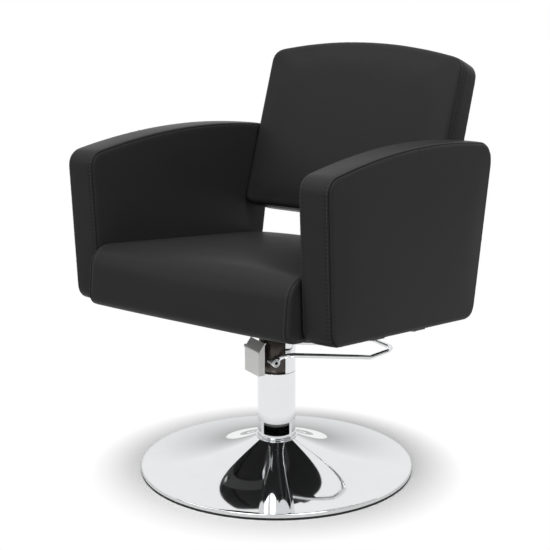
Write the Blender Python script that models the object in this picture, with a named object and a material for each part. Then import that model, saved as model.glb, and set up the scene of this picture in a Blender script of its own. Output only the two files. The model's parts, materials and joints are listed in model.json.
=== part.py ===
"""Hydraulic hairdressing chair: padded seat, arms and back on a pumped column.

Metres, +Z up. The chair faces -Y, the floor is z = 0 and the column stands on the Z axis.
The upholstery is laid out in a seat frame that leans back by SEAT_TILT about the column axis.
The pump works are laid out in a pump frame turned by PUMP_HEADING: u runs towards the pedal,
t along the lever shaft and z is the height above the floor.
"""

import math

import bmesh
import bpy
from mathutils import Matrix, Vector

# Clearances
TOUCH_GAP = 0.0003
RUNNING_GAP = 0.0004

# Base
BASE_RADIUS = 0.300
BASE_LIP_HEIGHT = 0.008
BASE_RISE = 0.060
BASE_BELL_POWER = 2.2
BASE_SHEET = 0.0025
EDGE_RING_HEIGHT = 0.005
EDGE_RING_WIDTH = 0.010
BASE_PLATE_THICKNESS = 0.008
FLANGE_RADIUS = 0.088
FLANGE_THICKNESS = 0.010
FLANGE_BOLT_CIRCLE = 0.066
COLLAR_WIDTH = 0.004
COLLAR_HEIGHT = 0.003

# Column and piston
COLUMN_RADIUS = 0.0418
COLUMN_WALL = 0.0025
COLUMN_TOP = 0.224
LIFT_TRAVEL = 0.145
BUSH_LENGTH = 0.040
PUMP_TUBE_WALL = 0.003
BUSH_WALL = 0.0022
TUBE_OVERRUN = 0.005
CYLINDER_RADIUS = 0.029
CYLINDER_WALL = 0.004
GLAND_LENGTH = 0.010
PISTON_ROD_RADIUS = 0.011
PISTON_LENGTH = 0.018
PISTON_HEAD_ROOM = 0.010
PISTON_END_CUSHION = 0.005
SEAL_HEIGHT = 0.006
SEAL_DEPTH = 0.003

# Pump head
HEAD_HEIGHT = 0.0934
SLEEVE_WALL = 0.0028
SLEEVE_EDGE = -0.002
SPINDLE_RADIUS = 0.014
SPINDLE_LENGTH = 0.027
WASHER_RADIUS = 0.036
WASHER_THICKNESS = 0.003

# Foot lever; the shaft's height is above the pump head's foot, the loop's heights are from the shaft
PUMP_HEADING = math.radians(67.0)
SHAFT_OFFSET = 0.027
SHAFT_HEIGHT = 0.0291
SHAFT_RADIUS = 0.0075
SHAFT_HOLE_RADIUS = 0.0036
SHAFT_HALF_LENGTH = 0.046
LEVER_HALF_WIDTH = 0.062
LEVER_HUB_PLACE = 0.041
LEVER_HUB_WIDTH = 0.009
LEVER_HUB_RADIUS = 0.0095
LEVER_ROD_RADIUS = 0.0052
LEVER_REACH = 0.2708
LEVER_KNEE = -0.003
LEVER_KNEE_RISE = 0.0189
LEVER_TIP_BEND = 0.2075
LEVER_TIP_BEND_DROP = 0.0176
LEVER_TIP_DROP = 0.0073
LEVER_BEND_RADIUS = 0.022
LEVER_NECK_RUN = 0.006
LEVER_NECK_RADIUS = 0.010
LEVER_SWING = math.radians(12.0)

# Hood, plunger and crank; the hood's heights are from the shaft
HOOD_REACH = 0.063
HOOD_HALF_WIDTH = 0.031
HOOD_BOTTOM = -0.0284
HOOD_FOLD = 0.0246
HOOD_TOP = 0.0436
HOOD_TOP_REACH = 0.0475
HOOD_SHEET = 0.002
CRANK_HUB_RADIUS = 0.0105
CRANK_TIP_RADIUS = 0.004
CRANK_TIP_RISE = 0.0066
CRANK_HALF_WIDTH = 0.006
CRANK_SLOT_ROOM = 0.003
PLUNGER_OFFSET = 0.0485
PLUNGER_RADIUS = 0.004
PLUNGER_FOOT_RADIUS = 0.0062
PLUNGER_FOOT_HEIGHT = 0.003
PLUNGER_LENGTH = 0.0172
BLOCK_HEIGHT = 0.007
BLOCK_HALF_WIDTH = 0.012
SPRING_LENGTH = 0.009
SPRING_WIRE_RADIUS = 0.0005
SPRING_COIL_RADIUS = 0.0053
SPRING_CURLS = 3
SPRING_POINTS_PER_CURL = 10

# Seat; its underside's height is above the pump head, on the column axis
SEAT_TILT = math.radians(6.0)
SEAT_UNDERSIDE = 0.0433
SEAT_HALF_WIDTH = 0.2582
SEAT_FRONT = -0.3204
SEAT_BACK = 0.272
SEAT_EDGE_HEIGHT = 0.127
SEAT_CROWN = 0.016
SEAT_CORNER_RADIUS = 0.018
SEAT_EDGE_RADIUS = 0.014
SEAT_ROLL_RADIUS = 0.045
SEAT_SIDE_DRAW = 0.003
BOARD_THICKNESS = 0.015
BOARD_INSET = 0.008

# Seat plate, straps and fasteners
HUB_RADIUS = 0.036
PLATE_HALF_WIDTH = 0.100
PLATE_THICKNESS = 0.006
STRAP_THICKNESS = 0.005
STRAP_WIDTH = 0.040
STRAP_SPACING = 0.160
STRAP_END_ROOM = 0.018
SEAT_BOLT_SPACING = 0.160
BOLT_RADIUS = 0.004
BOLT_HEAD_RADIUS = 0.0075
BOLT_HEAD_HEIGHT = 0.005
BOLT_TIP_ROOM = 0.003
FLANGE_BOLT_RADIUS = 0.005
FLANGE_BOLT_HEAD_RADIUS = 0.0095
FLANGE_BOLT_HEAD_HEIGHT = 0.0065
FLANGE_BOLT_TIP_ROOM = 0.001

# Arms
ARM_THICKNESS = 0.074
ARM_BOTTOM_FRONT = -0.2694
ARM_BOTTOM_BACK = 0.2782
ARM_FRONT_FLARE = 0.0499
ARM_BACK_FLARE = 0.0294
ARM_FRONT_HEIGHT = 0.314
ARM_BACK_HEIGHT = 0.383
ARM_ARCH_RISE = 0.0266
ARM_FRONT_RADIUS = 0.032
ARM_BACK_RADIUS = 0.045
ARM_FOOT_RADIUS = 0.030
ARM_EDGE_RADIUS = 0.009
ARM_CROWN = 0.002
ARM_BAND_SWELL = 0.002
RAIL_INSET = 0.012
RAIL_END_ROOM = 0.045

# Backrest
BACK_FRONT_FOOT = 0.1896
BACK_FOOT_HEIGHT = 0.1989
BACK_LEAN = math.radians(12.6)
BACK_HEIGHT = 0.372
BACK_ARCH_RISE = 0.030
BACK_DEPTH = 0.080
BACK_SIDE_GAP = 0.0013
BACK_TOP_TAPER = 0.001
BACK_TOP_RADIUS = 0.032
BACK_FOOT_RADIUS = 0.018
BACK_EDGE_RADIUS = 0.014
BACK_CROWN = 0.014
BACK_BAND_SWELL = 0.002
BACK_BOARD_THICKNESS = 0.010
BACK_BOARD_INSET = 0.020

# Back bars
BAR_THICKNESS = 0.005
BAR_WIDTH = 0.040
BAR_SPACING = 0.170
BAR_START = 0.150
BAR_OVERLAP = 0.110
BAR_LOWER_BOLT = 0.200
BAR_UPPER_BOLT_INSET = 0.030

# Roundness
BASE_SIDES = 60
COLUMN_SIDES = 36
SMALL_SIDES = 20
BOLT_SIDES = 12
CURVE_STEPS = 5

# Heights and radii that follow from the sizes above
DISH_BOTTOM = EDGE_RING_HEIGHT + TOUCH_GAP
DISH_TOP = DISH_BOTTOM + BASE_LIP_HEIGHT + BASE_RISE
DISH_HOLE = COLUMN_RADIUS + TOUCH_GAP
FLANGE_BOTTOM = BASE_PLATE_THICKNESS + TOUCH_GAP
FLANGE_TOP = FLANGE_BOTTOM + FLANGE_THICKNESS
COLUMN_FOOT = FLANGE_TOP + TOUCH_GAP
COLUMN_BORE = COLUMN_RADIUS - COLUMN_WALL
BUSH_OUTER = COLUMN_BORE - TOUCH_GAP
BUSH_BORE = BUSH_OUTER - BUSH_WALL
BUSH_TOP = COLUMN_TOP - TOUCH_GAP
PUMP_TUBE_RADIUS = BUSH_BORE - RUNNING_GAP
HEAD_BOTTOM = COLUMN_TOP + TOUCH_GAP
HEAD_TOP = HEAD_BOTTOM + HEAD_HEIGHT
TUBE_TOP = HEAD_BOTTOM - TOUCH_GAP
TUBE_FOOT = BUSH_TOP - BUSH_LENGTH - LIFT_TRAVEL - TUBE_OVERRUN
CYLINDER_BORE = CYLINDER_RADIUS - CYLINDER_WALL
PISTON_TOP = TUBE_TOP - PISTON_HEAD_ROOM
PISTON_FOOT = PISTON_TOP - PISTON_LENGTH
GLAND_FOOT = PISTON_FOOT - PISTON_END_CUSHION - LIFT_TRAVEL - GLAND_LENGTH
SLEEVE_BORE = COLUMN_RADIUS - SLEEVE_WALL
HEAD_RADIUS = SLEEVE_BORE - TOUCH_GAP
WASHER_BOTTOM = HEAD_TOP + TOUCH_GAP
HUB_BOTTOM = WASHER_BOTTOM + WASHER_THICKNESS + TOUCH_GAP
SPINDLE_BORE = SPINDLE_RADIUS + RUNNING_GAP
SHAFT_BORE = SHAFT_RADIUS + TOUCH_GAP
BEARING_BORE = SHAFT_RADIUS + RUNNING_GAP
SHAFT_LEVEL = HEAD_BOTTOM + SHAFT_HEIGHT
CRANK_ARM = PLUNGER_OFFSET - SHAFT_OFFSET
CRANK_TIP_HEIGHT = SHAFT_LEVEL + CRANK_TIP_RISE
PLUNGER_FOOT = CRANK_TIP_HEIGHT + CRANK_TIP_RADIUS + TOUCH_GAP
SPRING_FOOT = PLUNGER_FOOT + PLUNGER_FOOT_HEIGHT + TOUCH_GAP
BLOCK_BOTTOM = SPRING_FOOT + SPRING_LENGTH + TOUCH_GAP
HOOD_SLOPE = math.atan2(HOOD_TOP - HOOD_FOLD, HOOD_REACH - HOOD_TOP_REACH)
HOOD_INNER_REACH = HOOD_REACH - HOOD_SHEET
HOOD_INNER_FOLD = HOOD_FOLD - HOOD_SHEET * math.tan(HOOD_SLOPE / 2)
SEAT_LEVEL = HEAD_TOP + SEAT_UNDERSIDE
STRAP_TOP = -TOUCH_GAP
STRAP_BOTTOM = STRAP_TOP - STRAP_THICKNESS
PLATE_TOP = STRAP_BOTTOM - TOUCH_GAP
PLATE_BOTTOM = PLATE_TOP - PLATE_THICKNESS
BOARD_POCKET = BOARD_THICKNESS + TOUCH_GAP
ARM_INNER = SEAT_HALF_WIDTH + TOUCH_GAP
ARM_CENTRE = ARM_INNER + ARM_THICKNESS / 2
STRAP_HALF_LENGTH = ARM_CENTRE + STRAP_END_ROOM
BACK_HALF_WIDTH = ARM_INNER - BACK_SIDE_GAP
BAR_REACH = max(SEAT_BACK, ARM_BOTTOM_BACK) + TOUCH_GAP + BAR_THICKNESS / 2


def clear_scene():
    """Empty the file of objects before the chair is built."""
    for item in list(bpy.data.objects):
        bpy.data.objects.remove(item, do_unlink=True)


def make_material(name, colour, metallic, roughness):
    """Return a Principled material."""
    material = bpy.data.materials.new(name)
    material.use_nodes = True
    shader = material.node_tree.nodes["Principled BSDF"]
    shader.inputs["Base Color"].default_value = (*colour, 1.0)
    shader.inputs["Metallic"].default_value = metallic
    shader.inputs["Roughness"].default_value = roughness
    return material


def make_object(name, shape, finish, origin=(0.0, 0.0, 0.0)):
    """Turn a bmesh in world coordinates into a named object with the given origin."""
    bmesh.ops.recalc_face_normals(shape, faces=shape.faces)
    bmesh.ops.translate(shape, verts=shape.verts, vec=-Vector(origin))
    mesh = bpy.data.meshes.new(name)
    shape.to_mesh(mesh)
    shape.free()
    mesh.shade_smooth()
    mesh.set_sharp_from_angle(angle=math.radians(35.0))
    item = bpy.data.objects.new(name, mesh)
    item.location = origin
    bpy.context.scene.collection.objects.link(item)
    if finish is not None:
        mesh.materials.append(make_material(name, *finish))
    return item


def make_cutter(name, shape):
    """Turn a bmesh into a hidden object that only serves to cut others."""
    cutter = make_object(name, shape, None)
    cutter.hide_render = True
    cutter.display_type = "WIRE"
    return cutter


def cut(item, *cutters):
    """Subtract the cutters from an object."""
    for cutter in cutters:
        boolean = item.modifiers.new(cutter.name, "BOOLEAN")
        boolean.operation = "DIFFERENCE"
        boolean.solver = "EXACT"
        boolean.object = cutter


def add_loft(shape, rings, capped=True):
    """Skin rings of equal length into a tube, capped at both ends or closed on itself."""
    loops = [[shape.verts.new(point) for point in ring] for ring in rings]
    pairs = list(zip(loops, loops[1:]))
    if not capped:
        pairs.append((loops[-1], loops[0]))
    for lower, upper in pairs:
        count = len(lower)
        for i in range(count):
            j = (i + 1) % count
            shape.faces.new((lower[i], lower[j], upper[j], upper[i]))
    if capped:
        shape.faces.new(loops[0])
        shape.faces.new(loops[-1])


def loft(rings, capped=True):
    """Return a bmesh skinned over rings of points."""
    shape = bmesh.new()
    add_loft(shape, rings, capped)
    return shape


def circle(radius, height, sides):
    """Return a ring of points round the Z axis."""
    turns = [2.0 * math.pi * i / sides for i in range(sides)]
    return [Vector((radius * math.cos(a), radius * math.sin(a), height)) for a in turns]


def turned(profile, sides):
    """Turn a closed outline of (radius, height) points about the Z axis into a ring."""
    return loft([circle(r, z, sides) for r, z in profile], capped=False)


def turned_solid(profile, sides):
    """Turn an open outline of (radius, height) points into a solid with flat ends."""
    return loft([circle(r, z, sides) for r, z in profile])


def tube(outer, bore, bottom, top, sides):
    """Return a plain tube about the Z axis."""
    return turned([(outer, bottom), (outer, top), (bore, top), (bore, bottom)], sides)


def moved(shape, matrix):
    """Move a whole bmesh and return it."""
    bmesh.ops.transform(shape, matrix=matrix, verts=shape.verts)
    return shape


def extrude_outline(outline, place, near, far):
    """Extrude a flat outline: place(a, b, depth) gives the point for outline point (a, b)."""
    return loft([[place(a, b, depth) for a, b in outline] for depth in (near, far)])


def arc(centre, radius, start, end, steps):
    """Return points on an arc in a plane."""
    turns = [start + (end - start) * i / steps for i in range(steps + 1)]
    return [(centre[0] + radius * math.cos(a), centre[1] + radius * math.sin(a)) for a in turns]


def fillet(before, corner, after, radius, steps):
    """Return an arc that rounds the corner between two straight edges, in any plane."""
    into = (corner - before).normalized()
    away = (after - corner).normalized()
    turn = into.angle(away)
    setback = radius * math.tan(turn / 2)
    start = corner - into * setback
    inward = (away - into * into.dot(away)).normalized()
    centre = start + inward * radius
    angles = [turn * i / steps for i in range(steps + 1)]
    return [centre + into * radius * math.sin(a) - inward * radius * math.cos(a) for a in angles]


def rounded_panel(corners, radii, rises, edge_steps):
    """Round a four-cornered panel whose edges may be arched.

    Corners run anticlockwise, and edge i goes from corner i to the next one. Its arch stands
    out by rises[i] at the middle, as a parabola: chord + outward * 4 * rise * s * (1 - s).
    """
    points = [Vector(corner) for corner in corners]
    count = len(points)

    def on_edge(i, s):
        start = points[i]
        chord = points[(i + 1) % count] - start
        outward = Vector((chord.y, -chord.x)).normalized()
        return start + chord * s + outward * 4.0 * rises[i] * s * (1.0 - s)

    probe = 0.001
    outline = []
    for i in range(count):
        before = on_edge(i - 1, 1.0 - probe)
        after = on_edge(i, probe)
        outline += fillet(before, points[i], after, radii[i], CURVE_STEPS)
        length = (points[(i + 1) % count] - points[i]).length
        first = radii[i] / length + 0.5 / edge_steps[i]
        last = 1.0 - radii[(i + 1) % count] / length - 0.5 / edge_steps[i]
        for k in range(edge_steps[i]):
            outline.append(on_edge(i, first + (last - first) * k / max(edge_steps[i] - 1, 1)))
    return outline


def inset(outline, distance):
    """Move each point of a convex outline inwards, square to the outline."""
    count = len(outline)
    moved_points = []
    for i, point in enumerate(outline):
        along = outline[(i + 1) % count] - outline[i - 1]
        inward = Vector((-along.y, along.x)).normalized()
        moved_points.append(point + inward * distance)
    return moved_points


def shrunk(outline, share):
    """Scale an outline about its middle."""
    middle = sum(outline, Vector((0.0, 0.0))) / len(outline)
    return [middle + (point - middle) * share for point in outline]


def rectangle(x0, x1, y0, y1):
    """Return a rectangle's corners, anticlockwise."""
    return [(x0, y0), (x1, y0), (x1, y1), (x0, y1)]


def flat(outline):
    """Return an outline's points as plain pairs."""
    return [(p.x, p.y) for p in outline]


def ribbon_outline(line, thickness):
    """Return the outline of a flat bar bent along a line, with mitred bends."""
    ways = [(b - a).normalized() for a, b in zip(line, line[1:])]
    sides = [Vector((-w.y, w.x)) for w in ways]
    offsets = [sides[0]]
    for a, b in zip(sides, sides[1:]):
        offsets.append((a + b) / (1.0 + a.dot(b)))
    offsets.append(sides[-1])
    one = [p + o * thickness / 2 for p, o in zip(line, offsets)]
    other = [p - o * thickness / 2 for p, o in zip(line, offsets)]
    return flat(one + other[::-1])


def padded(outline, rear, front, edge, rear_crown, front_crown, swell, place):
    """Build a padded panel: rounded edges, a swollen band and crowned faces.

    The outline is the panel's largest section at its band's edges. Depth runs from rear to
    front, place(a, b, depth) gives the point. A face inside the rounded edge follows
    depth + crown * (1 - share ** 2), where share falls from 1 at the edge to 0 in the middle.
    """
    face = inset(outline, edge)
    shares = (0.3, 0.6, 0.85)
    quarter = [math.pi / 2 * i / 3 for i in range(4)]
    rings = []
    if rear_crown > 0.0:
        rings += [(shrunk(face, s), rear - rear_crown * (1.0 - s * s)) for s in shares]
    for a in reversed(quarter):
        rings.append((inset(outline, edge * (1.0 - math.cos(a))), rear + edge * (1.0 - math.sin(a))))
    rings.append((inset(outline, -swell), (rear + front) / 2))
    for a in quarter:
        rings.append((inset(outline, edge * (1.0 - math.cos(a))), front - edge * (1.0 - math.sin(a))))
    rings += [(shrunk(face, s), front + front_crown * (1.0 - s * s)) for s in reversed(shares)]
    return loft([[place(p.x, p.y, depth) for p in ring] for ring, depth in rings])


def in_seat(x, y, z):
    """Place a point of the seat frame: it leans back about the column axis."""
    lean, rise = math.sin(SEAT_TILT), math.cos(SEAT_TILT)
    return Vector((x, y * rise + z * lean, SEAT_LEVEL - y * lean + z * rise))


def seat_matrix(x, y, z):
    """Return the placement of something that stands on the seat plane at a point of it."""
    return Matrix.Translation(in_seat(x, y, z)) @ Matrix.Rotation(-SEAT_TILT, 4, "X")


def in_pump(u, t, z):
    """Place a point of the pump frame."""
    ahead = Vector((math.cos(PUMP_HEADING), math.sin(PUMP_HEADING), 0.0))
    aside = Vector((math.sin(PUMP_HEADING), -math.cos(PUMP_HEADING), 0.0))
    return ahead * u + aside * t + Vector((0.0, 0.0, z))


def across_pump(t, z, u):
    """Place a point of the pump frame, given in the order that suits a cut along u."""
    return in_pump(u, t, z)


def shaft_matrix(t):
    """Return the placement that lays a Z-axis piece along the lever shaft."""
    ahead = in_pump(1.0, 0.0, 0.0)
    aside = in_pump(0.0, 1.0, 0.0)
    up = Vector((0.0, 0.0, 1.0))
    turn = Matrix((ahead, up, aside)).transposed().to_4x4()
    return Matrix.Translation(in_pump(-SHAFT_OFFSET, t, SHAFT_LEVEL)) @ turn


def back_axes():
    """Return the backrest's upward and rearward directions in the seat frame's Y and Z."""
    up = Vector((math.sin(BACK_LEAN), math.cos(BACK_LEAN)))
    rearward = Vector((math.cos(BACK_LEAN), -math.sin(BACK_LEAN)))
    return up, rearward


def in_back(x, v, depth):
    """Place a point of the backrest: v up its face, depth forward from its rear plane."""
    up, rearward = back_axes()
    spot = Vector((BACK_FRONT_FOOT, BACK_FOOT_HEIGHT)) + up * v + rearward * (BACK_DEPTH - depth)
    return in_seat(x, spot.x, spot.y)


def hex_bolt(radius, length, head_radius, head_height):
    """Return a bolt whose head stands below z = 0 and whose shank points up."""
    flat_ring = []
    for i in range(BOLT_SIDES):
        share = 1.0 if i % 2 == 0 else math.cos(math.pi / 6)
        angle = 2.0 * math.pi * i / BOLT_SIDES
        flat_ring.append(Vector((math.cos(angle), math.sin(angle), 0.0)) * head_radius * share)
    drop = Vector((0.0, 0.0, -head_height))
    shank = circle(radius, 0.0, BOLT_SIDES)
    tip = circle(radius, length, BOLT_SIDES)
    return loft([[p + drop for p in flat_ring], flat_ring, shank, tip])


def hole_cutter(name, places, radius, length):
    """Return one cutter with a round rod through each place, centred on it."""
    shape = bmesh.new()
    for place in places:
        ends = [circle(radius, height, BOLT_SIDES) for height in (-length, length)]
        add_loft(shape, [[place @ point for point in ring] for ring in ends])
    return make_cutter(name, shape)


def smooth_path(corners, radii, steps):
    """Round the inner corners of a path of straight runs, each with its own radius."""
    path = [corners[0]]
    for before, corner, after, radius in zip(corners, corners[1:], corners[2:], radii):
        path += fillet(before, corner, after, radius, steps)
    path.append(corners[-1])
    return path


def swept_rod(path, radius, sides):
    """Sweep a round section along a path without twisting it."""
    ways = [(b - a).normalized() for a, b in zip(path, path[1:])]
    tangents = [ways[0]] + [(a + b).normalized() for a, b in zip(ways, ways[1:])] + [ways[-1]]
    side = tangents[0].orthogonal().normalized()
    rings = []
    for point, tangent in zip(path, tangents):
        side = (side - tangent * side.dot(tangent)).normalized()
        across = tangent.cross(side)
        turns = [2.0 * math.pi * i / sides for i in range(sides)]
        rings.append([point + (side * math.cos(a) + across * math.sin(a)) * radius for a in turns])
    return loft(rings)


def least_self_gap(path, radius, apart):
    """Measure the least gap between runs of a rod that lie at least that many points apart."""
    nearest = min((a - b).length for i, a in enumerate(path) for b in path[i + apart:])
    return nearest - 2.0 * radius


CHROME = ((0.80, 0.80, 0.81), 1.0, 0.08)
STEEL = ((0.45, 0.45, 0.46), 1.0, 0.40)
DARK_STEEL = ((0.06, 0.06, 0.06), 0.6, 0.50)
CAST_IRON = ((0.12, 0.12, 0.12), 0.8, 0.60)
BRASS = ((0.70, 0.52, 0.24), 1.0, 0.30)
RUBBER = ((0.02, 0.02, 0.02), 0.0, 0.80)
NYLON = ((0.75, 0.74, 0.70), 0.0, 0.50)
ALUMINIUM = ((0.60, 0.60, 0.61), 1.0, 0.35)
PLYWOOD = ((0.45, 0.30, 0.17), 0.0, 0.70)
VINYL = ((0.028, 0.028, 0.028), 0.0, 0.45)


def bell_height(radius):
    """Return the height of the dish's outside at a radius."""
    share = (BASE_RADIUS - radius) / (BASE_RADIUS - DISH_HOLE)
    return DISH_BOTTOM + BASE_LIP_HEIGHT + BASE_RISE * share ** BASE_BELL_POWER


def build_base():
    """Build the dish, its edge ring and the plate that stands on the floor."""
    steps = 8
    span = BASE_RADIUS - BASE_SHEET - DISH_HOLE
    radii = [BASE_RADIUS - BASE_SHEET - span * i / steps for i in range(steps + 1)]
    outside = [(BASE_RADIUS, DISH_BOTTOM), (BASE_RADIUS, DISH_BOTTOM + BASE_LIP_HEIGHT - BASE_SHEET)]
    outside += [(r, bell_height(r)) for r in radii]
    inner_start = BASE_RADIUS - 2.0 * BASE_SHEET
    inner_steps = 4
    inner_span = inner_start - DISH_HOLE
    inner_radii = [DISH_HOLE + inner_span * i / inner_steps for i in range(inner_steps + 1)]
    inside = [(r, bell_height(r) - 1.5 * BASE_SHEET) for r in inner_radii]
    inside += [(BASE_RADIUS - BASE_SHEET, DISH_BOTTOM + BASE_LIP_HEIGHT - 2.0 * BASE_SHEET)]
    inside += [(BASE_RADIUS - BASE_SHEET, DISH_BOTTOM)]
    make_object("base_dish", turned(outside + inside, BASE_SIDES), CHROME)

    ring_bore = BASE_RADIUS - EDGE_RING_WIDTH
    make_object("base_edge_ring", tube(BASE_RADIUS, ring_bore, 0.0, EDGE_RING_HEIGHT, BASE_SIDES), RUBBER)

    facet_room = ring_bore * (1.0 - math.cos(math.pi / BASE_SIDES))
    plate_radius = ring_bore - TOUCH_GAP
    profile = [(plate_radius, 0.0), (plate_radius, EDGE_RING_HEIGHT)]
    profile += [(plate_radius - facet_room, BASE_PLATE_THICKNESS)]
    plate = make_object("base_plate", turned_solid(profile, BASE_SIDES), DARK_STEEL)

    flange_profile = [(FLANGE_RADIUS, FLANGE_BOTTOM), (FLANGE_RADIUS, FLANGE_TOP)]
    flange = make_object("column_flange", turned_solid(flange_profile, COLUMN_SIDES), DARK_STEEL)

    turns = [math.pi / 4 + math.pi / 2 * i for i in range(4)]
    spots = [(FLANGE_BOLT_CIRCLE * math.cos(a), FLANGE_BOLT_CIRCLE * math.sin(a)) for a in turns]
    seats = [Matrix.Translation((x, y, FLANGE_TOP + TOUCH_GAP)) for x, y in spots]
    drill = hole_cutter("flange_bolt_holes", seats, FLANGE_BOLT_RADIUS + TOUCH_GAP, 2.0 * FLANGE_TOP)
    cut(plate, drill)
    cut(flange, drill)
    length = FLANGE_TOP + TOUCH_GAP - FLANGE_BOLT_TIP_ROOM
    upside_down = Matrix.Rotation(math.pi, 4, "X")
    for number, seat in enumerate(seats, 1):
        bolt = hex_bolt(FLANGE_BOLT_RADIUS, length, FLANGE_BOLT_HEAD_RADIUS, FLANGE_BOLT_HEAD_HEIGHT)
        make_object(f"flange_bolt_{number}", moved(bolt, seat @ upside_down), STEEL)


def build_column():
    """Build the fixed column, its collar and bush, and the piston that stands in it."""
    column = tube(COLUMN_RADIUS, COLUMN_BORE, COLUMN_FOOT, COLUMN_TOP, COLUMN_SIDES)
    make_object("lower_column", column, CHROME)
    low = DISH_TOP + TOUCH_GAP
    high = low + COLLAR_HEIGHT
    edge = COLLAR_HEIGHT / 3
    outer = DISH_HOLE + COLLAR_WIDTH
    collar = [(DISH_HOLE, low), (outer, low), (outer, high - edge), (outer - edge, high), (DISH_HOLE, high)]
    make_object("column_collar", turned(collar, COLUMN_SIDES), CHROME)
    bush = tube(BUSH_OUTER, BUSH_BORE, BUSH_TOP - BUSH_LENGTH, BUSH_TOP, COLUMN_SIDES)
    make_object("guide_bush", bush, NYLON)

    piston_radius = CYLINDER_BORE - RUNNING_GAP
    groove_foot = (PISTON_FOOT + PISTON_TOP - SEAL_HEIGHT) / 2 - TOUCH_GAP
    groove_top = groove_foot + SEAL_HEIGHT + 2.0 * TOUCH_GAP
    groove_radius = piston_radius - SEAL_DEPTH
    rod = [(PISTON_ROD_RADIUS, COLUMN_FOOT), (PISTON_ROD_RADIUS, PISTON_FOOT), (piston_radius, PISTON_FOOT)]
    rod += [(piston_radius, groove_foot), (groove_radius, groove_foot), (groove_radius, groove_top)]
    rod += [(piston_radius, groove_top), (piston_radius, PISTON_TOP)]
    make_object("piston_rod", turned_solid(rod, SMALL_SIDES), STEEL)
    seal_bore = groove_radius + TOUCH_GAP
    seal_bottom = groove_foot + TOUCH_GAP
    seal = tube(piston_radius, seal_bore, seal_bottom, seal_bottom + SEAL_HEIGHT, SMALL_SIDES)
    make_object("piston_seal", seal, RUBBER)


def build_pump():
    """Build what rises with the seat but doesn't turn with it."""
    pump_tube = tube(PUMP_TUBE_RADIUS, PUMP_TUBE_RADIUS - PUMP_TUBE_WALL, TUBE_FOOT, TUBE_TOP, COLUMN_SIDES)
    make_object("pump_tube", pump_tube, CHROME)
    cylinder = tube(CYLINDER_RADIUS, CYLINDER_BORE, GLAND_FOOT, TUBE_TOP, SMALL_SIDES)
    make_object("pump_cylinder", cylinder, STEEL)
    gland_bore = PISTON_ROD_RADIUS + RUNNING_GAP
    gland = tube(CYLINDER_BORE - TOUCH_GAP, gland_bore, GLAND_FOOT, GLAND_FOOT + GLAND_LENGTH, SMALL_SIDES)
    make_object("rod_gland", gland, BRASS)

    casting = [(HEAD_RADIUS, HEAD_BOTTOM), (HEAD_RADIUS, HEAD_TOP)]
    casting += [(SPINDLE_RADIUS, HEAD_TOP), (SPINDLE_RADIUS, HEAD_TOP + SPINDLE_LENGTH)]
    head = make_object("pump_head", turned_solid(casting, COLUMN_SIDES), CAST_IRON)
    half = CRANK_HALF_WIDTH + CRANK_SLOT_ROOM
    low = SHAFT_LEVEL - CRANK_HUB_RADIUS - CRANK_SLOT_ROOM
    tip_lift = CRANK_ARM * math.sin(LEVER_SWING)
    high = SHAFT_LEVEL + CRANK_HUB_RADIUS + tip_lift + CRANK_SLOT_ROOM
    depth = -SHAFT_OFFSET + CRANK_HUB_RADIUS + CRANK_SLOT_ROOM
    slot = extrude_outline(rectangle(-half, half, low, high), across_pump, depth, -HOOD_REACH)
    bearing = hole_cutter("shaft_bearing", [shaft_matrix(0.0)], BEARING_BORE, SHAFT_HALF_LENGTH)
    cut(head, make_cutter("crank_slot", slot), bearing)
    washer_top = WASHER_BOTTOM + WASHER_THICKNESS
    washer = tube(WASHER_RADIUS, SPINDLE_BORE, WASHER_BOTTOM, washer_top, COLUMN_SIDES)
    make_object("thrust_washer", washer, BRASS)

    sleeve = tube(COLUMN_RADIUS, SLEEVE_BORE, HEAD_BOTTOM, HEAD_TOP, COLUMN_SIDES)
    sleeve = make_object("head_sleeve", sleeve, CHROME)
    reach = 2.0 * COLUMN_RADIUS
    open_side = extrude_outline(rectangle(-reach, reach, 0.0, 2.0 * HEAD_TOP), across_pump, SLEEVE_EDGE, -reach)
    cut(sleeve, make_cutter("sleeve_open_side", open_side))

    build_hood()
    build_plunger_block()


def build_hood():
    """Build the sheet hood: a front and a sloped top between two narrow side walls."""
    wall = [(-HOOD_TOP_REACH, HOOD_BOTTOM), (-HOOD_TOP_REACH, HOOD_TOP)]
    wall += [(-HOOD_REACH, HOOD_FOLD), (-HOOD_REACH, HOOD_BOTTOM)]
    below = HOOD_BOTTOM - HOOD_SHEET
    behind = -HOOD_TOP_REACH + HOOD_SHEET
    over = HOOD_INNER_FOLD + (behind + HOOD_INNER_REACH) * math.tan(HOOD_SLOPE)
    room = [(behind, below), (behind, over)]
    room += [(-HOOD_INNER_REACH, HOOD_INNER_FOLD), (-HOOD_INNER_REACH, below)]

    def place(u, z, t):
        return in_pump(u, t, SHAFT_LEVEL + z)

    half = HOOD_HALF_WIDTH - HOOD_SHEET
    hollow = make_cutter("hood_hollow", extrude_outline(room, place, -half, half))
    body = extrude_outline(wall, place, -HOOD_HALF_WIDTH, HOOD_HALF_WIDTH)
    cut(make_object("lever_hood", body, CHROME), hollow)


def under_hood(height):
    """Return how far out a piece may reach under the hood at a height, short of touching it."""
    above_fold = max(height - SHAFT_LEVEL - HOOD_INNER_FOLD, 0.0)
    return HOOD_INNER_REACH - above_fold / math.tan(HOOD_SLOPE) - TOUCH_GAP / math.sin(HOOD_SLOPE)


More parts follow.
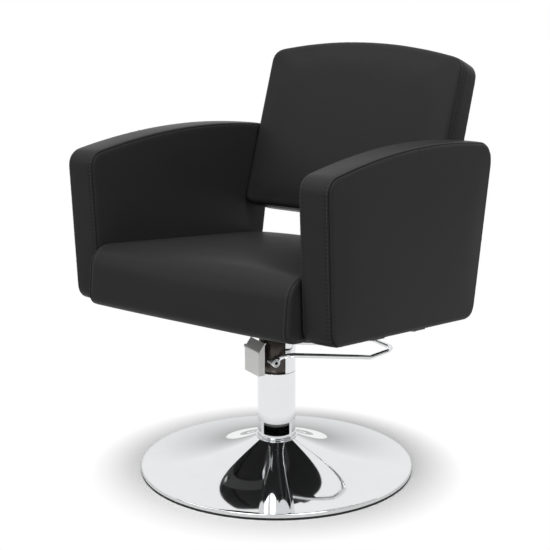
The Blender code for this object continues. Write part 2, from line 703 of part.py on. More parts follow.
def build_plunger_block():
    """Build the plunger, its return spring and the block that guides it and carries the hood."""
    axis = in_pump(-PLUNGER_OFFSET, 0.0, 0.0)
    inner = -HEAD_RADIUS - TOUCH_GAP
    top = BLOCK_BOTTOM + BLOCK_HEIGHT
    outline = [(inner, BLOCK_BOTTOM), (inner, top), (-under_hood(top), top)]
    outline += [(-under_hood(BLOCK_BOTTOM), BLOCK_BOTTOM)]

    def place(u, z, t):
        return in_pump(u, t, z)

    body = extrude_outline(outline, place, -BLOCK_HALF_WIDTH, BLOCK_HALF_WIDTH)
    block = make_object("plunger_block", body, ALUMINIUM)
    bore_place = [Matrix.Translation(axis + Vector((0.0, 0.0, BLOCK_BOTTOM)))]
    bore = hole_cutter("plunger_bore", bore_place, PLUNGER_RADIUS + TOUCH_GAP, 2.0 * BLOCK_HEIGHT)
    cut(block, bore)

    rod_foot = PLUNGER_FOOT + PLUNGER_FOOT_HEIGHT
    profile = [(PLUNGER_FOOT_RADIUS, PLUNGER_FOOT), (PLUNGER_FOOT_RADIUS, rod_foot)]
    profile += [(PLUNGER_RADIUS, rod_foot), (PLUNGER_RADIUS, PLUNGER_FOOT + PLUNGER_LENGTH)]
    plunger = moved(turned_solid(profile, BOLT_SIDES), Matrix.Translation(axis))
    make_object("plunger", plunger, STEEL, axis + Vector((0.0, 0.0, PLUNGER_FOOT)))

    count = SPRING_CURLS * SPRING_POINTS_PER_CURL
    rise = SPRING_LENGTH - 2.0 * SPRING_WIRE_RADIUS
    path = []
    for i in range(count + 1):
        angle = 2.0 * math.pi * i / SPRING_POINTS_PER_CURL
        height = SPRING_FOOT + SPRING_WIRE_RADIUS + rise * i / count
        reach = Vector((math.cos(angle), math.sin(angle), 0.0)) * SPRING_COIL_RADIUS
        path.append(axis + reach + Vector((0.0, 0.0, height)))
    gap = least_self_gap(path, SPRING_WIRE_RADIUS, SPRING_POINTS_PER_CURL // 2)
    print(f"plunger_spring least gap to itself {gap * 1000:.2f} mm")
    spring = swept_rod(path, SPRING_WIRE_RADIUS, 6)
    make_object("plunger_spring", spring, STEEL, axis + Vector((0.0, 0.0, SPRING_FOOT)))


def build_lever():
    """Build the lever shaft, its hubs and crank, and the rod loop that the foot presses."""
    origin = in_pump(-SHAFT_OFFSET, 0.0, SHAFT_LEVEL)
    shaft = tube(SHAFT_RADIUS, SHAFT_HOLE_RADIUS, -SHAFT_HALF_LENGTH, SHAFT_HALF_LENGTH, SMALL_SIDES)
    make_object("lever_shaft", moved(shaft, shaft_matrix(0.0)), STEEL, origin)

    for name, t in (("lever_hub_near", LEVER_HUB_PLACE), ("lever_hub_far", -LEVER_HUB_PLACE)):
        hub = tube(LEVER_HUB_RADIUS, SHAFT_BORE, -LEVER_HUB_WIDTH / 2, LEVER_HUB_WIDTH / 2, SMALL_SIDES)
        make_object(name, moved(hub, shaft_matrix(t)), CHROME, origin)

    tip_angle = math.atan2(CRANK_TIP_RISE, CRANK_ARM)
    spread = math.asin((CRANK_HUB_RADIUS - CRANK_TIP_RADIUS) / math.hypot(CRANK_ARM, CRANK_TIP_RISE))
    back = math.pi - tip_angle
    half_turn = math.pi / 2 - spread
    outline = arc((-CRANK_ARM, CRANK_TIP_RISE), CRANK_TIP_RADIUS, back - half_turn, back + half_turn, 6)
    outline += arc((0.0, 0.0), CRANK_HUB_RADIUS, back + half_turn, back - half_turn + 2.0 * math.pi, 12)

    def place(u, z, t):
        return in_pump(u - SHAFT_OFFSET, t, SHAFT_LEVEL + z)

    body = extrude_outline(outline, place, -CRANK_HALF_WIDTH, CRANK_HALF_WIDTH)
    crank = make_object("lever_crank", body, CAST_IRON, origin)
    cut(crank, hole_cutter("crank_bore", [shaft_matrix(0.0)], SHAFT_BORE, SHAFT_HALF_LENGTH))

    rise = math.atan2(LEVER_KNEE_RISE, LEVER_KNEE + SHAFT_OFFSET)
    runs = [LEVER_HUB_RADIUS + TOUCH_GAP, LEVER_HUB_RADIUS + TOUCH_GAP + LEVER_NECK_RUN]
    side = [(run * math.cos(rise) - SHAFT_OFFSET, LEVER_HUB_PLACE, run * math.sin(rise)) for run in runs]
    side.append((LEVER_KNEE, LEVER_HALF_WIDTH, LEVER_KNEE_RISE))
    side.append((LEVER_TIP_BEND, LEVER_HALF_WIDTH, -LEVER_TIP_BEND_DROP))
    side.append((LEVER_REACH, LEVER_HALF_WIDTH, -LEVER_TIP_DROP))
    near = [in_pump(u, t, SHAFT_LEVEL + z) for u, t, z in side]
    far = [in_pump(u, -t, SHAFT_LEVEL + z) for u, t, z in reversed(side)]
    bends = [LEVER_NECK_RADIUS] + [LEVER_BEND_RADIUS] * (len(near + far) - 4) + [LEVER_NECK_RADIUS]
    path = smooth_path(near + far, bends, CURVE_STEPS)
    make_object("lever_loop", swept_rod(path, LEVER_ROD_RADIUS, 10), CHROME, origin)


def seat_slab(outline, bottom, top):
    """Extrude an outline of the seat plane between two depths."""
    return extrude_outline(outline, in_seat, bottom, top)


def seat_plan():
    """Return the seat cushion's outline in the seat plane."""
    corners = rectangle(-SEAT_HALF_WIDTH, SEAT_HALF_WIDTH, SEAT_FRONT, SEAT_BACK)
    return rounded_panel(corners, [SEAT_CORNER_RADIUS] * 4, [0.0] * 4, [8] * 4)


def board_outline(room):
    """Return the seat board's outline in the seat plane, grown by some room."""
    return flat(inset(seat_plan(), BOARD_INSET - room))


def rail_outline(side, room):
    """Return an arm rail's outline in the seat plane, grown by some room."""
    half = ARM_THICKNESS / 2 - RAIL_INSET + room
    front = ARM_BOTTOM_FRONT + RAIL_END_ROOM - room
    back = ARM_BOTTOM_BACK - RAIL_END_ROOM + room
    return rectangle(side * ARM_CENTRE - half, side * ARM_CENTRE + half, front, back)


def pocket(name, outline):
    """Return a cutter for the hollow under a cushion that takes its board."""
    return make_cutter(name, seat_slab(outline, -BOARD_POCKET, BOARD_POCKET))


def build_seat_frame():
    """Build the hub, plate and straps under the seat, and the boards they carry."""
    lean = math.tan(SEAT_TILT)
    middle = in_seat(0.0, 0.0, PLATE_BOTTOM - TOUCH_GAP)

    def slanted(radius):
        ring = circle(radius, 0.0, COLUMN_SIDES)
        return [Vector((p.x, p.y, middle.z - (p.y - middle.y) * lean)) for p in ring]

    rings = [circle(HUB_RADIUS, HUB_BOTTOM, COLUMN_SIDES), slanted(HUB_RADIUS)]
    rings += [slanted(SPINDLE_BORE), circle(SPINDLE_BORE, HUB_BOTTOM, COLUMN_SIDES)]
    make_object("seat_hub", loft(rings, capped=False), DARK_STEEL)

    plate_outline = rectangle(-PLATE_HALF_WIDTH, PLATE_HALF_WIDTH, -PLATE_HALF_WIDTH, PLATE_HALF_WIDTH)
    plate = make_object("seat_plate", seat_slab(plate_outline, PLATE_BOTTOM, PLATE_TOP), DARK_STEEL)
    straps = []
    for name, sign in (("strap_front", -1), ("strap_rear", 1)):
        y = sign * STRAP_SPACING / 2
        outline = rectangle(-STRAP_HALF_LENGTH, STRAP_HALF_LENGTH, y - STRAP_WIDTH / 2, y + STRAP_WIDTH / 2)
        straps.append(make_object(name, seat_slab(outline, STRAP_BOTTOM, STRAP_TOP), DARK_STEEL))

    board = make_object("seat_board", seat_slab(board_outline(0.0), 0.0, BOARD_THICKNESS), PLYWOOD)
    rails = []
    for name, side in (("arm_rail_left", -1), ("arm_rail_right", 1)):
        slab = seat_slab(rail_outline(side, 0.0), 0.0, BOARD_THICKNESS)
        rails.append(make_object(name, slab, PLYWOOD))

    signs = [(-1, -1), (1, -1), (1, 1), (-1, 1)]
    plate_spots = [(sx * SEAT_BOLT_SPACING / 2, sy * STRAP_SPACING / 2) for sx, sy in signs]
    arm_spots = [(sx * ARM_CENTRE, sy * STRAP_SPACING / 2) for sx, sy in signs]
    reach = BOLT_RADIUS + TOUCH_GAP
    depth = BOARD_THICKNESS - BOLT_TIP_ROOM
    drill_length = 2.0 * (BOARD_THICKNESS - PLATE_BOTTOM)
    for label, spots, head_seat, targets in (
        ("seat_bolt", plate_spots, PLATE_BOTTOM, [plate, *straps, board]),
        ("arm_bolt", arm_spots, STRAP_BOTTOM, [*straps, *rails]),
    ):
        seats = [seat_matrix(x, y, head_seat - TOUCH_GAP) for x, y in spots]
        drill = hole_cutter(f"{label}_holes", seats, reach, drill_length)
        for target in targets:
            cut(target, drill)
        for number, seat in enumerate(seats, 1):
            bolt = hex_bolt(BOLT_RADIUS, depth - head_seat, BOLT_HEAD_RADIUS, BOLT_HEAD_HEIGHT)
            make_object(f"{label}_{number}", moved(bolt, seat), STEEL)
    return board


def roll_front(point):
    """Lower a point of the seat's padding near the front, so that its top rolls over."""
    into = SEAT_FRONT + SEAT_ROLL_RADIUS - point.y
    if into <= 0.0:
        return point
    drop = SEAT_ROLL_RADIUS - math.sqrt(max(SEAT_ROLL_RADIUS ** 2 - into ** 2, 0.0))
    share = min(point.z / SEAT_EDGE_HEIGHT, 1.0)
    return Vector((point.x, point.y, point.z - drop * share ** 4))


def build_seat_cushion():
    """Build the seat's padding: a crowned slab with drawn-in sides and a rolled front."""
    plan = seat_plan()
    top = SEAT_EDGE_HEIGHT
    edge = SEAT_EDGE_RADIUS
    quarter = [math.pi / 2 * i / 3 for i in range(4)]
    rings = [(inset(plan, SEAT_SIDE_DRAW), 0.0), (inset(plan, SEAT_SIDE_DRAW), edge)]
    rings += [(inset(plan, edge * (1.0 - math.cos(a))), top - edge * (1.0 - math.sin(a))) for a in quarter]
    face = inset(plan, edge)
    for share in (0.93, 0.84, 0.62, 0.3):
        rings.append((shrunk(face, share), top + SEAT_CROWN * (1.0 - share ** 2)))
    points = [[roll_front(Vector((p.x, p.y, z))) for p in ring] for ring, z in rings]
    skin = loft([[in_seat(p.x, p.y, p.z) for p in ring] for ring in points])
    cushion = make_object("seat_cushion", skin, VINYL)
    cut(cushion, pocket("seat_board_pocket", board_outline(TOUCH_GAP)))


def build_arms():
    """Build the two padded arm panels."""
    corners = [
        (ARM_BOTTOM_FRONT, ARM_BAND_SWELL),
        (ARM_BOTTOM_BACK, ARM_BAND_SWELL),
        (ARM_BOTTOM_BACK + ARM_BACK_FLARE, ARM_BACK_HEIGHT),
        (ARM_BOTTOM_FRONT - ARM_FRONT_FLARE, ARM_FRONT_HEIGHT),
    ]
    radii = [ARM_FOOT_RADIUS, ARM_FOOT_RADIUS, ARM_BACK_RADIUS, ARM_FRONT_RADIUS]
    outline = rounded_panel(corners, radii, [0.0, 0.0, ARM_ARCH_RISE, 0.0], [6, 5, 9, 5])
    rear = ARM_INNER + ARM_CROWN
    front = ARM_INNER + ARM_THICKNESS
    for name, side in (("arm_left", -1), ("arm_right", 1)):
        def place(y, z, depth, side=side):
            return in_seat(side * depth, y, z)

        body = padded(outline, rear, front, ARM_EDGE_RADIUS, ARM_CROWN, ARM_CROWN, ARM_BAND_SWELL, place)
        arm = make_object(name, body, VINYL)
        cut(arm, pocket(f"{name}_rail_pocket", rail_outline(side, TOUCH_GAP)))


def back_outline(margin):
    """Return the backrest's outline in its own plane, drawn in by a margin."""
    half = BACK_HALF_WIDTH - BACK_BAND_SWELL - margin
    top_half = half - BACK_TOP_TAPER
    low = BACK_BAND_SWELL + margin
    high = BACK_HEIGHT - margin
    corners = [(-half, low), (half, low), (top_half, high), (-top_half, high)]
    radii = [BACK_FOOT_RADIUS, BACK_FOOT_RADIUS, BACK_TOP_RADIUS, BACK_TOP_RADIUS]
    return rounded_panel(corners, radii, [0.0, 0.0, BACK_ARCH_RISE, 0.0], [7, 5, 9, 5])


def build_backrest(seat_board):
    """Build the backrest, the board behind it and the bars that carry it."""
    body = padded(
        back_outline(0.0), 0.0, BACK_DEPTH, BACK_EDGE_RADIUS,
        0.0, BACK_CROWN, BACK_BAND_SWELL, in_back,
    )
    backrest = make_object("backrest", body, VINYL)
    panel = extrude_outline(flat(back_outline(BACK_BOARD_INSET)), in_back, 0.0, BACK_BOARD_THICKNESS)
    board = make_object("back_board", panel, PLYWOOD)
    recess_outline = flat(back_outline(BACK_BOARD_INSET - TOUCH_GAP))
    recess_depth = BACK_BOARD_THICKNESS + TOUCH_GAP
    recess = extrude_outline(recess_outline, in_back, -recess_depth, recess_depth)
    cut(backrest, make_cutter("back_board_pocket", recess))

    up, rearward = back_axes()
    rear_foot = Vector((BACK_FRONT_FOOT, BACK_FOOT_HEIGHT)) + rearward * BACK_DEPTH
    skin = rear_foot + rearward * (TOUCH_GAP + BAR_THICKNESS / 2)
    bend = skin + up * ((BAR_REACH - skin.x) / up.x)
    level = -TOUCH_GAP - BAR_THICKNESS / 2
    line = [Vector((BAR_START, level)), Vector((BAR_REACH, level)), bend, bend + up * BAR_OVERLAP]
    ribbon = ribbon_outline(line, BAR_THICKNESS)

    half = BAR_SPACING / 2
    upper_run = (bend - rear_foot).dot(up) + BAR_OVERLAP - BAR_UPPER_BOLT_INSET
    lower_head = level - BAR_THICKNESS / 2 - TOUCH_GAP
    lower_seats = [seat_matrix(s * half, BAR_LOWER_BOLT, lower_head) for s in (-1, 1)]
    head_depth = -2.0 * TOUCH_GAP - BAR_THICKNESS
    facing = Matrix.Rotation(-SEAT_TILT - BACK_LEAN + math.pi / 2, 4, "X")
    upper_seats = [Matrix.Translation(in_back(s * half, upper_run, head_depth)) @ facing for s in (-1, 1)]
    reach = BOLT_RADIUS + TOUCH_GAP
    lower_drill = hole_cutter("bar_lower_holes", lower_seats, reach, 2.0 * BOARD_THICKNESS)
    upper_drill = hole_cutter("bar_upper_holes", upper_seats, reach, 2.0 * BACK_BOARD_THICKNESS)
    cut(seat_board, lower_drill)
    cut(board, upper_drill)

    def place(y, z, x):
        return in_seat(x, y, z)

    for name, side in (("back_bar_left", -1), ("back_bar_right", 1)):
        middle = side * half
        solid = extrude_outline(ribbon, place, middle - BAR_WIDTH / 2, middle + BAR_WIDTH / 2)
        cut(make_object(name, solid, DARK_STEEL), lower_drill, upper_drill)
    lower_length = BAR_THICKNESS + 2.0 * TOUCH_GAP + BOARD_THICKNESS - BOLT_TIP_ROOM
    upper_length = BAR_THICKNESS + 2.0 * TOUCH_GAP + BACK_BOARD_THICKNESS - BOLT_TIP_ROOM
    for label, seats, length in (
        ("bar_lower_bolt", lower_seats, lower_length),
        ("bar_upper_bolt", upper_seats, upper_length),
    ):
        for number, seat in enumerate(seats, 1):
            bolt = hex_bolt(BOLT_RADIUS, length, BOLT_HEAD_RADIUS, BOLT_HEAD_HEIGHT)
            make_object(f"{label}_{number}", moved(bolt, seat), STEEL)


def main():
    """Build the whole chair."""
    clear_scene()
    build_base()
    build_column()
    build_pump()
    build_lever()
    seat_board = build_seat_frame()
    build_seat_cushion()
    build_arms()
    build_backrest(seat_board)


main()
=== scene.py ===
"""Looks of a hydraulic hairdressing chair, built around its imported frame.

Metres, +Z up, the chair faces -Y and its column stands on the origin. Each class is one sub-assembly:
its fields are sizes, and its methods build the pieces and dress them. A new piece is a surface worked
out with whole arrays, from a formula or from a profile along a path.
"""

import functools
import json
import logging
import math
from collections.abc import Callable
from dataclasses import dataclass
from enum import Enum

import bmesh
import bpy
import numpy as np
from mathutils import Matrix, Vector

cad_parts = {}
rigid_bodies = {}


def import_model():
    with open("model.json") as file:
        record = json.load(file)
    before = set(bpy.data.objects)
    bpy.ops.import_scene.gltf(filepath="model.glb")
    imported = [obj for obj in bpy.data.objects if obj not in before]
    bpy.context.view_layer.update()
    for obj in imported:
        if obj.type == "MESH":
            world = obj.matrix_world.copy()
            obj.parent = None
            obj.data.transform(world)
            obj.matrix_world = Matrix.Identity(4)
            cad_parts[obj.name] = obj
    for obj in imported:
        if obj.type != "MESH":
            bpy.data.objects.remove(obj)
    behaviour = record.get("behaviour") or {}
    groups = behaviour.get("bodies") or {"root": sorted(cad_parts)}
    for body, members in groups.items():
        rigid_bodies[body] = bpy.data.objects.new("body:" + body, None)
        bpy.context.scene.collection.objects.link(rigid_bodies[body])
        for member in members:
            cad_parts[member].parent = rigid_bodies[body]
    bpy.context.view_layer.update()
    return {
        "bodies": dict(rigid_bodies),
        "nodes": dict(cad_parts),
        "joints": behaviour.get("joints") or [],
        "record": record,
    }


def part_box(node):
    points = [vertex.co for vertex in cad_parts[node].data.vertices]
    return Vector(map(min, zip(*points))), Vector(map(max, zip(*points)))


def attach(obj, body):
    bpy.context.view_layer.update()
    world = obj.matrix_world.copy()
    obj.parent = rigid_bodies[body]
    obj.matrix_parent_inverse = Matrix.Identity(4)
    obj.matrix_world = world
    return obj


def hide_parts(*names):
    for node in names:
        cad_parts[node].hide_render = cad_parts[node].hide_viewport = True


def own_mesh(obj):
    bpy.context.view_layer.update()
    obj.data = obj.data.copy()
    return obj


Array = np.ndarray
Place = Callable[[Array, Array, Array], Array]
Socket = bpy.types.NodeSocket
Piece = bpy.types.Object

LOG = logging.getLogger("chair")
ROUND_SIDES = 192
SHARP_ANGLE = math.radians(50.0)
SEAM_MARKS = "seam_marks"
FIT_GAP = 0.0003
ACROSS = np.array([1.0, 0.0, 0.0])
UP = np.array([0.0, 0.0, 1.0])
BLACK = (0.0, 0.0, 0.0, 1.0)
WHITE = (1.0, 1.0, 1.0, 1.0)


class Side(Enum):
    """The two sides of the chair, by the sign of X."""

    LEFT = -1
    RIGHT = 1


class Body(Enum):
    """The moving bodies of the frame."""

    BASE = "base"
    PUMP = "pump"
    LEVER = "lever"
    SEAT = "seat"


# Surface tools


def unit(vectors: Array) -> Array:
    """Return vectors scaled to length one."""
    return vectors / np.maximum(np.linalg.norm(vectors, axis=-1, keepdims=True), 1e-12)


def span(node: str) -> tuple[Array, Array]:
    """Return the lowest and highest corner of a CAD node."""
    low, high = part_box(node)
    return np.array(low), np.array(high)


def travelled(points: Array) -> Array:
    """Return the length travelled along a line at each of its points."""
    steps = np.linalg.norm(np.diff(points, axis=0), axis=1)
    return np.concatenate([[0.0], np.cumsum(steps)])


def along(points: Array, lengths: Array, values: Array | None = None) -> Array:
    """Return the places at some lengths along a line, or other values that its points have."""
    columns = (points if values is None else values).T
    length = travelled(points)
    return np.stack([np.interp(lengths, length, column) for column in columns], axis=-1)


def resampled(points: Array, count: int) -> Array:
    """Return a line's points at even spacing, both ends among them."""
    return along(points, np.linspace(0.0, travelled(points)[-1], count))


def arcs(start: Array, corner: Array, stop: Array, weight: Array, steps: int) -> Array:
    """Return circular arcs from start to stop, tangent to the edges that meet in the corner.

    With w the sine of half the angle between the edges, an arc is
    ((1-t)^2 start + 2 w t (1-t) corner + t^2 stop) / ((1-t)^2 + 2 w t (1-t) + t^2).

    Args:
        start: where each arc begins, one row for each corner.
        corner: the corners.
        stop: where each arc ends.
        weight: w for each corner.
        steps: points on each arc.

    Returns:
        The points, by corner and place on its arc.
    """
    t = np.linspace(0.0, 1.0, steps)[None, :, None]
    middle = 2.0 * weight[:, None, None] * t * (1.0 - t)
    points = (1.0 - t) ** 2 * start[:, None] + middle * corner[:, None] + t ** 2 * stop[:, None]
    return points / ((1.0 - t) ** 2 + middle + t ** 2)


def rounded(corners: Array, radii: Array | float, steps: int = 7, closed: bool = True) -> Array:
    """Return a line of straight runs with circular arcs for corners.

    Args:
        corners: the corners in order, one per row.
        radii: one radius for each corner, or one for all.
        steps: points on each arc.
        closed: whether the last corner joins the first; the ends of an open line stay as they are.

    Returns:
        The points of the rounded line.
    """
    before = np.roll(corners, 1, axis=0) - corners
    after = np.roll(corners, -1, axis=0) - corners
    arc_share = 0.495
    room = arc_share * np.minimum(np.linalg.norm(before, axis=1), np.linalg.norm(after, axis=1))
    half = 0.5 * np.arccos(np.clip(np.sum(unit(before) * unit(after), axis=1), -1.0, 1.0))
    reach = np.minimum(radii / np.maximum(np.tan(half), 1e-9), room)[:, None]
    points = arcs(corners + unit(before) * reach, corners, corners + unit(after) * reach, np.sin(half), steps)
    if closed:
        return points.reshape(-1, corners.shape[1])
    inner = points[1:-1].reshape(-1, corners.shape[1])
    return np.concatenate([corners[:1], inner, corners[-1:]])


def box_outline(left: float, right: float, bottom: float, top: float, radius: float) -> Array:
    """Return a rectangle's outline with rounded corners."""
    corners = np.array([[left, bottom], [right, bottom], [right, top], [left, top]])
    return rounded(corners, radius)


def grid_quads(index: Array, close_rows: bool = False, close_columns: bool = False) -> Array:
    """Return the quads of one or more grids of point numbers.

    Args:
        index: the point numbers, with row and column last.
        close_rows: whether the last row joins the first.
        close_columns: whether the last column joins the first.

    Returns:
        Four point numbers for each quad.
    """
    if close_columns:
        index = np.concatenate([index, index[..., :1]], axis=-1)
    if close_rows:
        index = np.concatenate([index, index[..., :1, :]], axis=-2)
    corners = [index[..., :-1, :-1], index[..., :-1, 1:], index[..., 1:, 1:], index[..., 1:, :-1]]
    return np.stack(corners, axis=-1).reshape(-1, 4)


def numbered(points: Array) -> Array:
    """Return the point numbers of a grid of points, in its shape."""
    return np.arange(points.size // points.shape[-1]).reshape(points.shape[:-1])


def ring_faces(points: Array) -> list:
    """Return the faces of a grid that is closed both ways."""
    return [grid_quads(numbered(points), True, True)]


def rod_faces(points: Array) -> list:
    """Return the faces of one or more rods: the quads and a cap at each end."""
    index = numbered(points)
    caps = index[..., [0, -1], :].reshape(-1, index.shape[-1])
    return [grid_quads(index, close_columns=True), caps]


def joined(*coordinates: Array | float) -> Array:
    """Return points from their coordinates, which broadcast to one shape."""
    return np.stack(np.broadcast_arrays(*coordinates), axis=-1)


def round_axis(radius: Array, angle: Array, height: Array) -> Array:
    """Return points (r cos a, r sin a, h)."""
    return joined(radius * np.cos(angle), radius * np.sin(angle), height)


def turned(profile: Array, place: Place = joined, sides: int = ROUND_SIDES) -> Array:
    """Return the grid place(r cos a, r sin a, h) of a profile (r, h) turned about the h axis."""
    ring = circle(1.0, sides)
    radius, height = profile[:, :1], profile[:, 1:]
    return place(radius * ring[:, 0], radius * ring[:, 1], height)


def swept(path: Array, section: Array, up: Array) -> Array:
    """Return the grid of a section carried along a path.

    With T the path's direction, S = T x up and N = S x T, the surface is P(s) + a S + b N for each
    point (a, b) of the section.

    Args:
        path: the path's points.
        section: the section's points (a, b).
        up: a direction that the path never runs along.

    Returns:
        The points, by place along the path and round the section.
    """
    direction = unit(np.gradient(path, axis=0))
    side = unit(np.cross(direction, up))
    normal = np.cross(side, direction)
    across = section[None, :, :1] * side[:, None] + section[None, :, 1:] * normal[:, None]
    return path[:, None] + across


def circle(radius: float, sides: int) -> Array:
    """Return a round section."""
    angle = np.linspace(0.0, 2.0 * np.pi, sides, endpoint=False)
    return radius * np.stack([np.cos(angle), np.sin(angle)], axis=-1)


def shell(grid: Array, thickness: float) -> tuple[Array, list]:
    """Return a sheet with a thickness: the grid, its copy moved along the normals, and its rim.

    Args:
        grid: the sheet's outer surface, by row and column.
        thickness: how far the copy lies behind it.

    Returns:
        The points and the faces of the closed body.
    """
    normal = unit(np.cross(np.gradient(grid, axis=0), np.gradient(grid, axis=1)))
    both = np.stack([grid, grid - thickness * normal])
    index = numbered(both)
    edges = [index[:, 0, :-1], index[:, :-1, -1], index[:, -1, :0:-1], index[:, :0:-1, 0]]
    rim = grid_quads(np.concatenate(edges, axis=1), close_columns=True)
    return both, [grid_quads(index), rim]


def nearest(points: Array, knots: Array, count: int) -> tuple[Array, Array]:
    """Return the numbers of the nearest knots to each point, and the squared distances to them.

    Args:
        points: the points to look from.
        knots: the points to look for.
        count: how many knots for each point.

    Returns:
        The knots' numbers and the squared distances, each by point and knot.
    """
    points_at_once = 1500
    numbers, squares = [], []
    knots = knots.astype(np.float32)
    for part in np.array_split(points.astype(np.float32), max(1, len(points) // points_at_once)):
        gap = (part ** 2).sum(1)[:, None] + (knots ** 2).sum(1)[None] - 2.0 * part @ knots.T
        order = np.argpartition(gap, count, axis=1)[:, :count]
        numbers.append(order)
        squares.append(np.take_along_axis(gap, order, axis=1))
    return np.concatenate(numbers), np.maximum(np.concatenate(squares), 0.0)


def make_mesh(name: str, points: Array, faces: list) -> bpy.types.Mesh:
    """Make a mesh from points and from arrays of point numbers, with its faces outward."""
    mesh = bpy.data.meshes.new(name)
    rows = [row for part in faces for row in np.asarray(part).tolist()]
    mesh.from_pydata(points.reshape(-1, 3).tolist(), [], rows)
    body = bmesh.new()
    body.from_mesh(mesh)
    bmesh.ops.recalc_face_normals(body, faces=body.faces)
    body.to_mesh(mesh)
    body.free()
    mesh.shade_smooth()
    return mesh


def coordinates_of(mesh: bpy.types.Mesh) -> Array:
    """Return a mesh's points."""
    points = np.empty(len(mesh.vertices) * 3)
    mesh.vertices.foreach_get("co", points)
    return points.reshape(-1, 3)


def put(name: str, data: bpy.types.ID) -> Piece:
    """Put a new object into the scene."""
    item = bpy.data.objects.new(name, data)
    bpy.context.scene.collection.objects.link(item)
    return item


def make_piece(
    name: str, points: Array, faces: list, finish: "Finish", body: Body, slot: str, *nodes: str
) -> Piece:
    """Make one finished piece that rides on a body.

    Args:
        name: the piece's name.
        points: its points, in any grid shape.
        faces: arrays or lists of point numbers, one row for each face.
        finish: what it is made of.
        body: the body that it moves with.
        slot: the record's material slot; not used.
        nodes: the CAD nodes that it stands for.

    Returns:
        The new object, smooth up to a sharp angle and with its faces outward.
    """
    mesh = make_mesh(name, points, faces)
    mesh.set_sharp_from_angle(angle=SHARP_ANGLE)
    mesh.materials.append(material_of(finish))
    piece = put(name, mesh)
    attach(piece, body.value)
    if nodes:
        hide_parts(*nodes)
    LOG.info("%s: %d points, %d faces", name, len(mesh.vertices), len(mesh.polygons))
    return piece


# Finishes


class Graph:
    """The nodes of a material or of the world, built up from its shader."""

    def __init__(self, owner: bpy.types.Material | bpy.types.World, shader: str = "Principled BSDF") -> None:
        """Start from the shader that a new material or world comes with."""
        owner.use_nodes = True
        self.tree = owner.node_tree
        self.shader = self.tree.nodes[shader]

    def feed(self, socket: Socket, value: object) -> None:
        """Link a socket to another one, or set it to a plain value."""
        if isinstance(value, Socket):
            self.tree.links.new(value, socket)
        else:
            socket.default_value = value

    def set(self, **values: object) -> None:
        """Feed the shader's own sockets, with _ for a space in a socket's name."""
        for name, value in values.items():
            self.feed(self.shader.inputs[name.replace("_", " ")], value)

    def node(self, kind: str, inputs: dict, **settings: object) -> bpy.types.NodeOutputs:
        """Add a node and return its outputs.

        Args:
            kind: the node's type.
            inputs: links and plain values, by the name or number of the socket that they feed.
            settings: the node's own settings.

        Returns:
            The node's output sockets.
        """
        node = self.tree.nodes.new(kind)
        for name, value in settings.items():
            setattr(node, name, value)
        for key, value in inputs.items():
            self.feed(node.inputs[key], value)
        return node.outputs

    def maths(self, operation: str, *values: Socket | float, **settings: object) -> Socket:
        """Return the result of an operation on links and plain numbers."""
        settings["operation"] = operation
        return self.node("ShaderNodeMath", dict(enumerate(values)), **settings)["Value"]

    def spots(self, stretch: tuple[float, float, float] = (1.0, 1.0, 1.0)) -> Socket:
        """Return the object's own coordinates, stretched along its axes."""
        source = self.node("ShaderNodeTexCoord", {})["Object"]
        return self.node("ShaderNodeMapping", {"Vector": source, "Scale": stretch})["Vector"]

    def part(self, vector: Socket, axis: str) -> Socket:
        """Return a vector's part along X, Y or Z."""
        return self.node("ShaderNodeSeparateXYZ", {"Vector": vector})[axis]

    def noise(self, spots: Socket, scale: float, detail: float = 2.0) -> Socket:
        """Return soft noise with that many lumps in a metre."""
        inputs = {"Vector": spots, "Scale": scale, "Detail": detail}
        return self.node("ShaderNodeTexNoise", inputs)["Fac"]

    def cells(self, spots: Socket, scale: float) -> Socket:
        """Return the distance to the nearest of scattered points, as in a grain's pebbles."""
        return self.node("ShaderNodeTexVoronoi", {"Vector": spots, "Scale": scale})["Distance"]

    def spread(self, value: Socket, low: float, high: float, start: float = 0.0, stop: float = 1.0) -> Socket:
        """Return a value between start and stop spread from low to high."""
        inputs = {"Value": value, "From Min": start, "From Max": stop, "To Min": low, "To Max": high}
        return self.node("ShaderNodeMapRange", inputs)["Result"]

    def between(self, share: Socket, low: Socket | tuple, high: tuple) -> Socket:
        """Return a colour between two colours, the first of them one colour or a link."""
        first = low if isinstance(low, Socket) else (*low, 1.0)
        inputs = {"Factor": share, "A": first, "B": (*high, 1.0)}
        return self.node("ShaderNodeMix", inputs, data_type="RGBA")["Result"]

    def bump(self, height: Socket, depth: float, strength: float) -> None:
        """Raise the surface by a height between nought and one, times a depth in metres."""
        inputs = {"Height": height, "Distance": depth, "Strength": strength}
        self.set(Normal=self.node("ShaderNodeBump", inputs)["Normal"])

    def seen(self, *other_rays: str) -> Socket:
        """Return one where the eye looks, straight, by reflection or by other rays, and else nought."""
        rays = self.node("ShaderNodeLightPath", {})
        seen = rays["Is Camera Ray"]
        for name in ("Is Glossy Ray", *other_rays):
            seen = self.maths("MAXIMUM", seen, rays[name])
        return seen


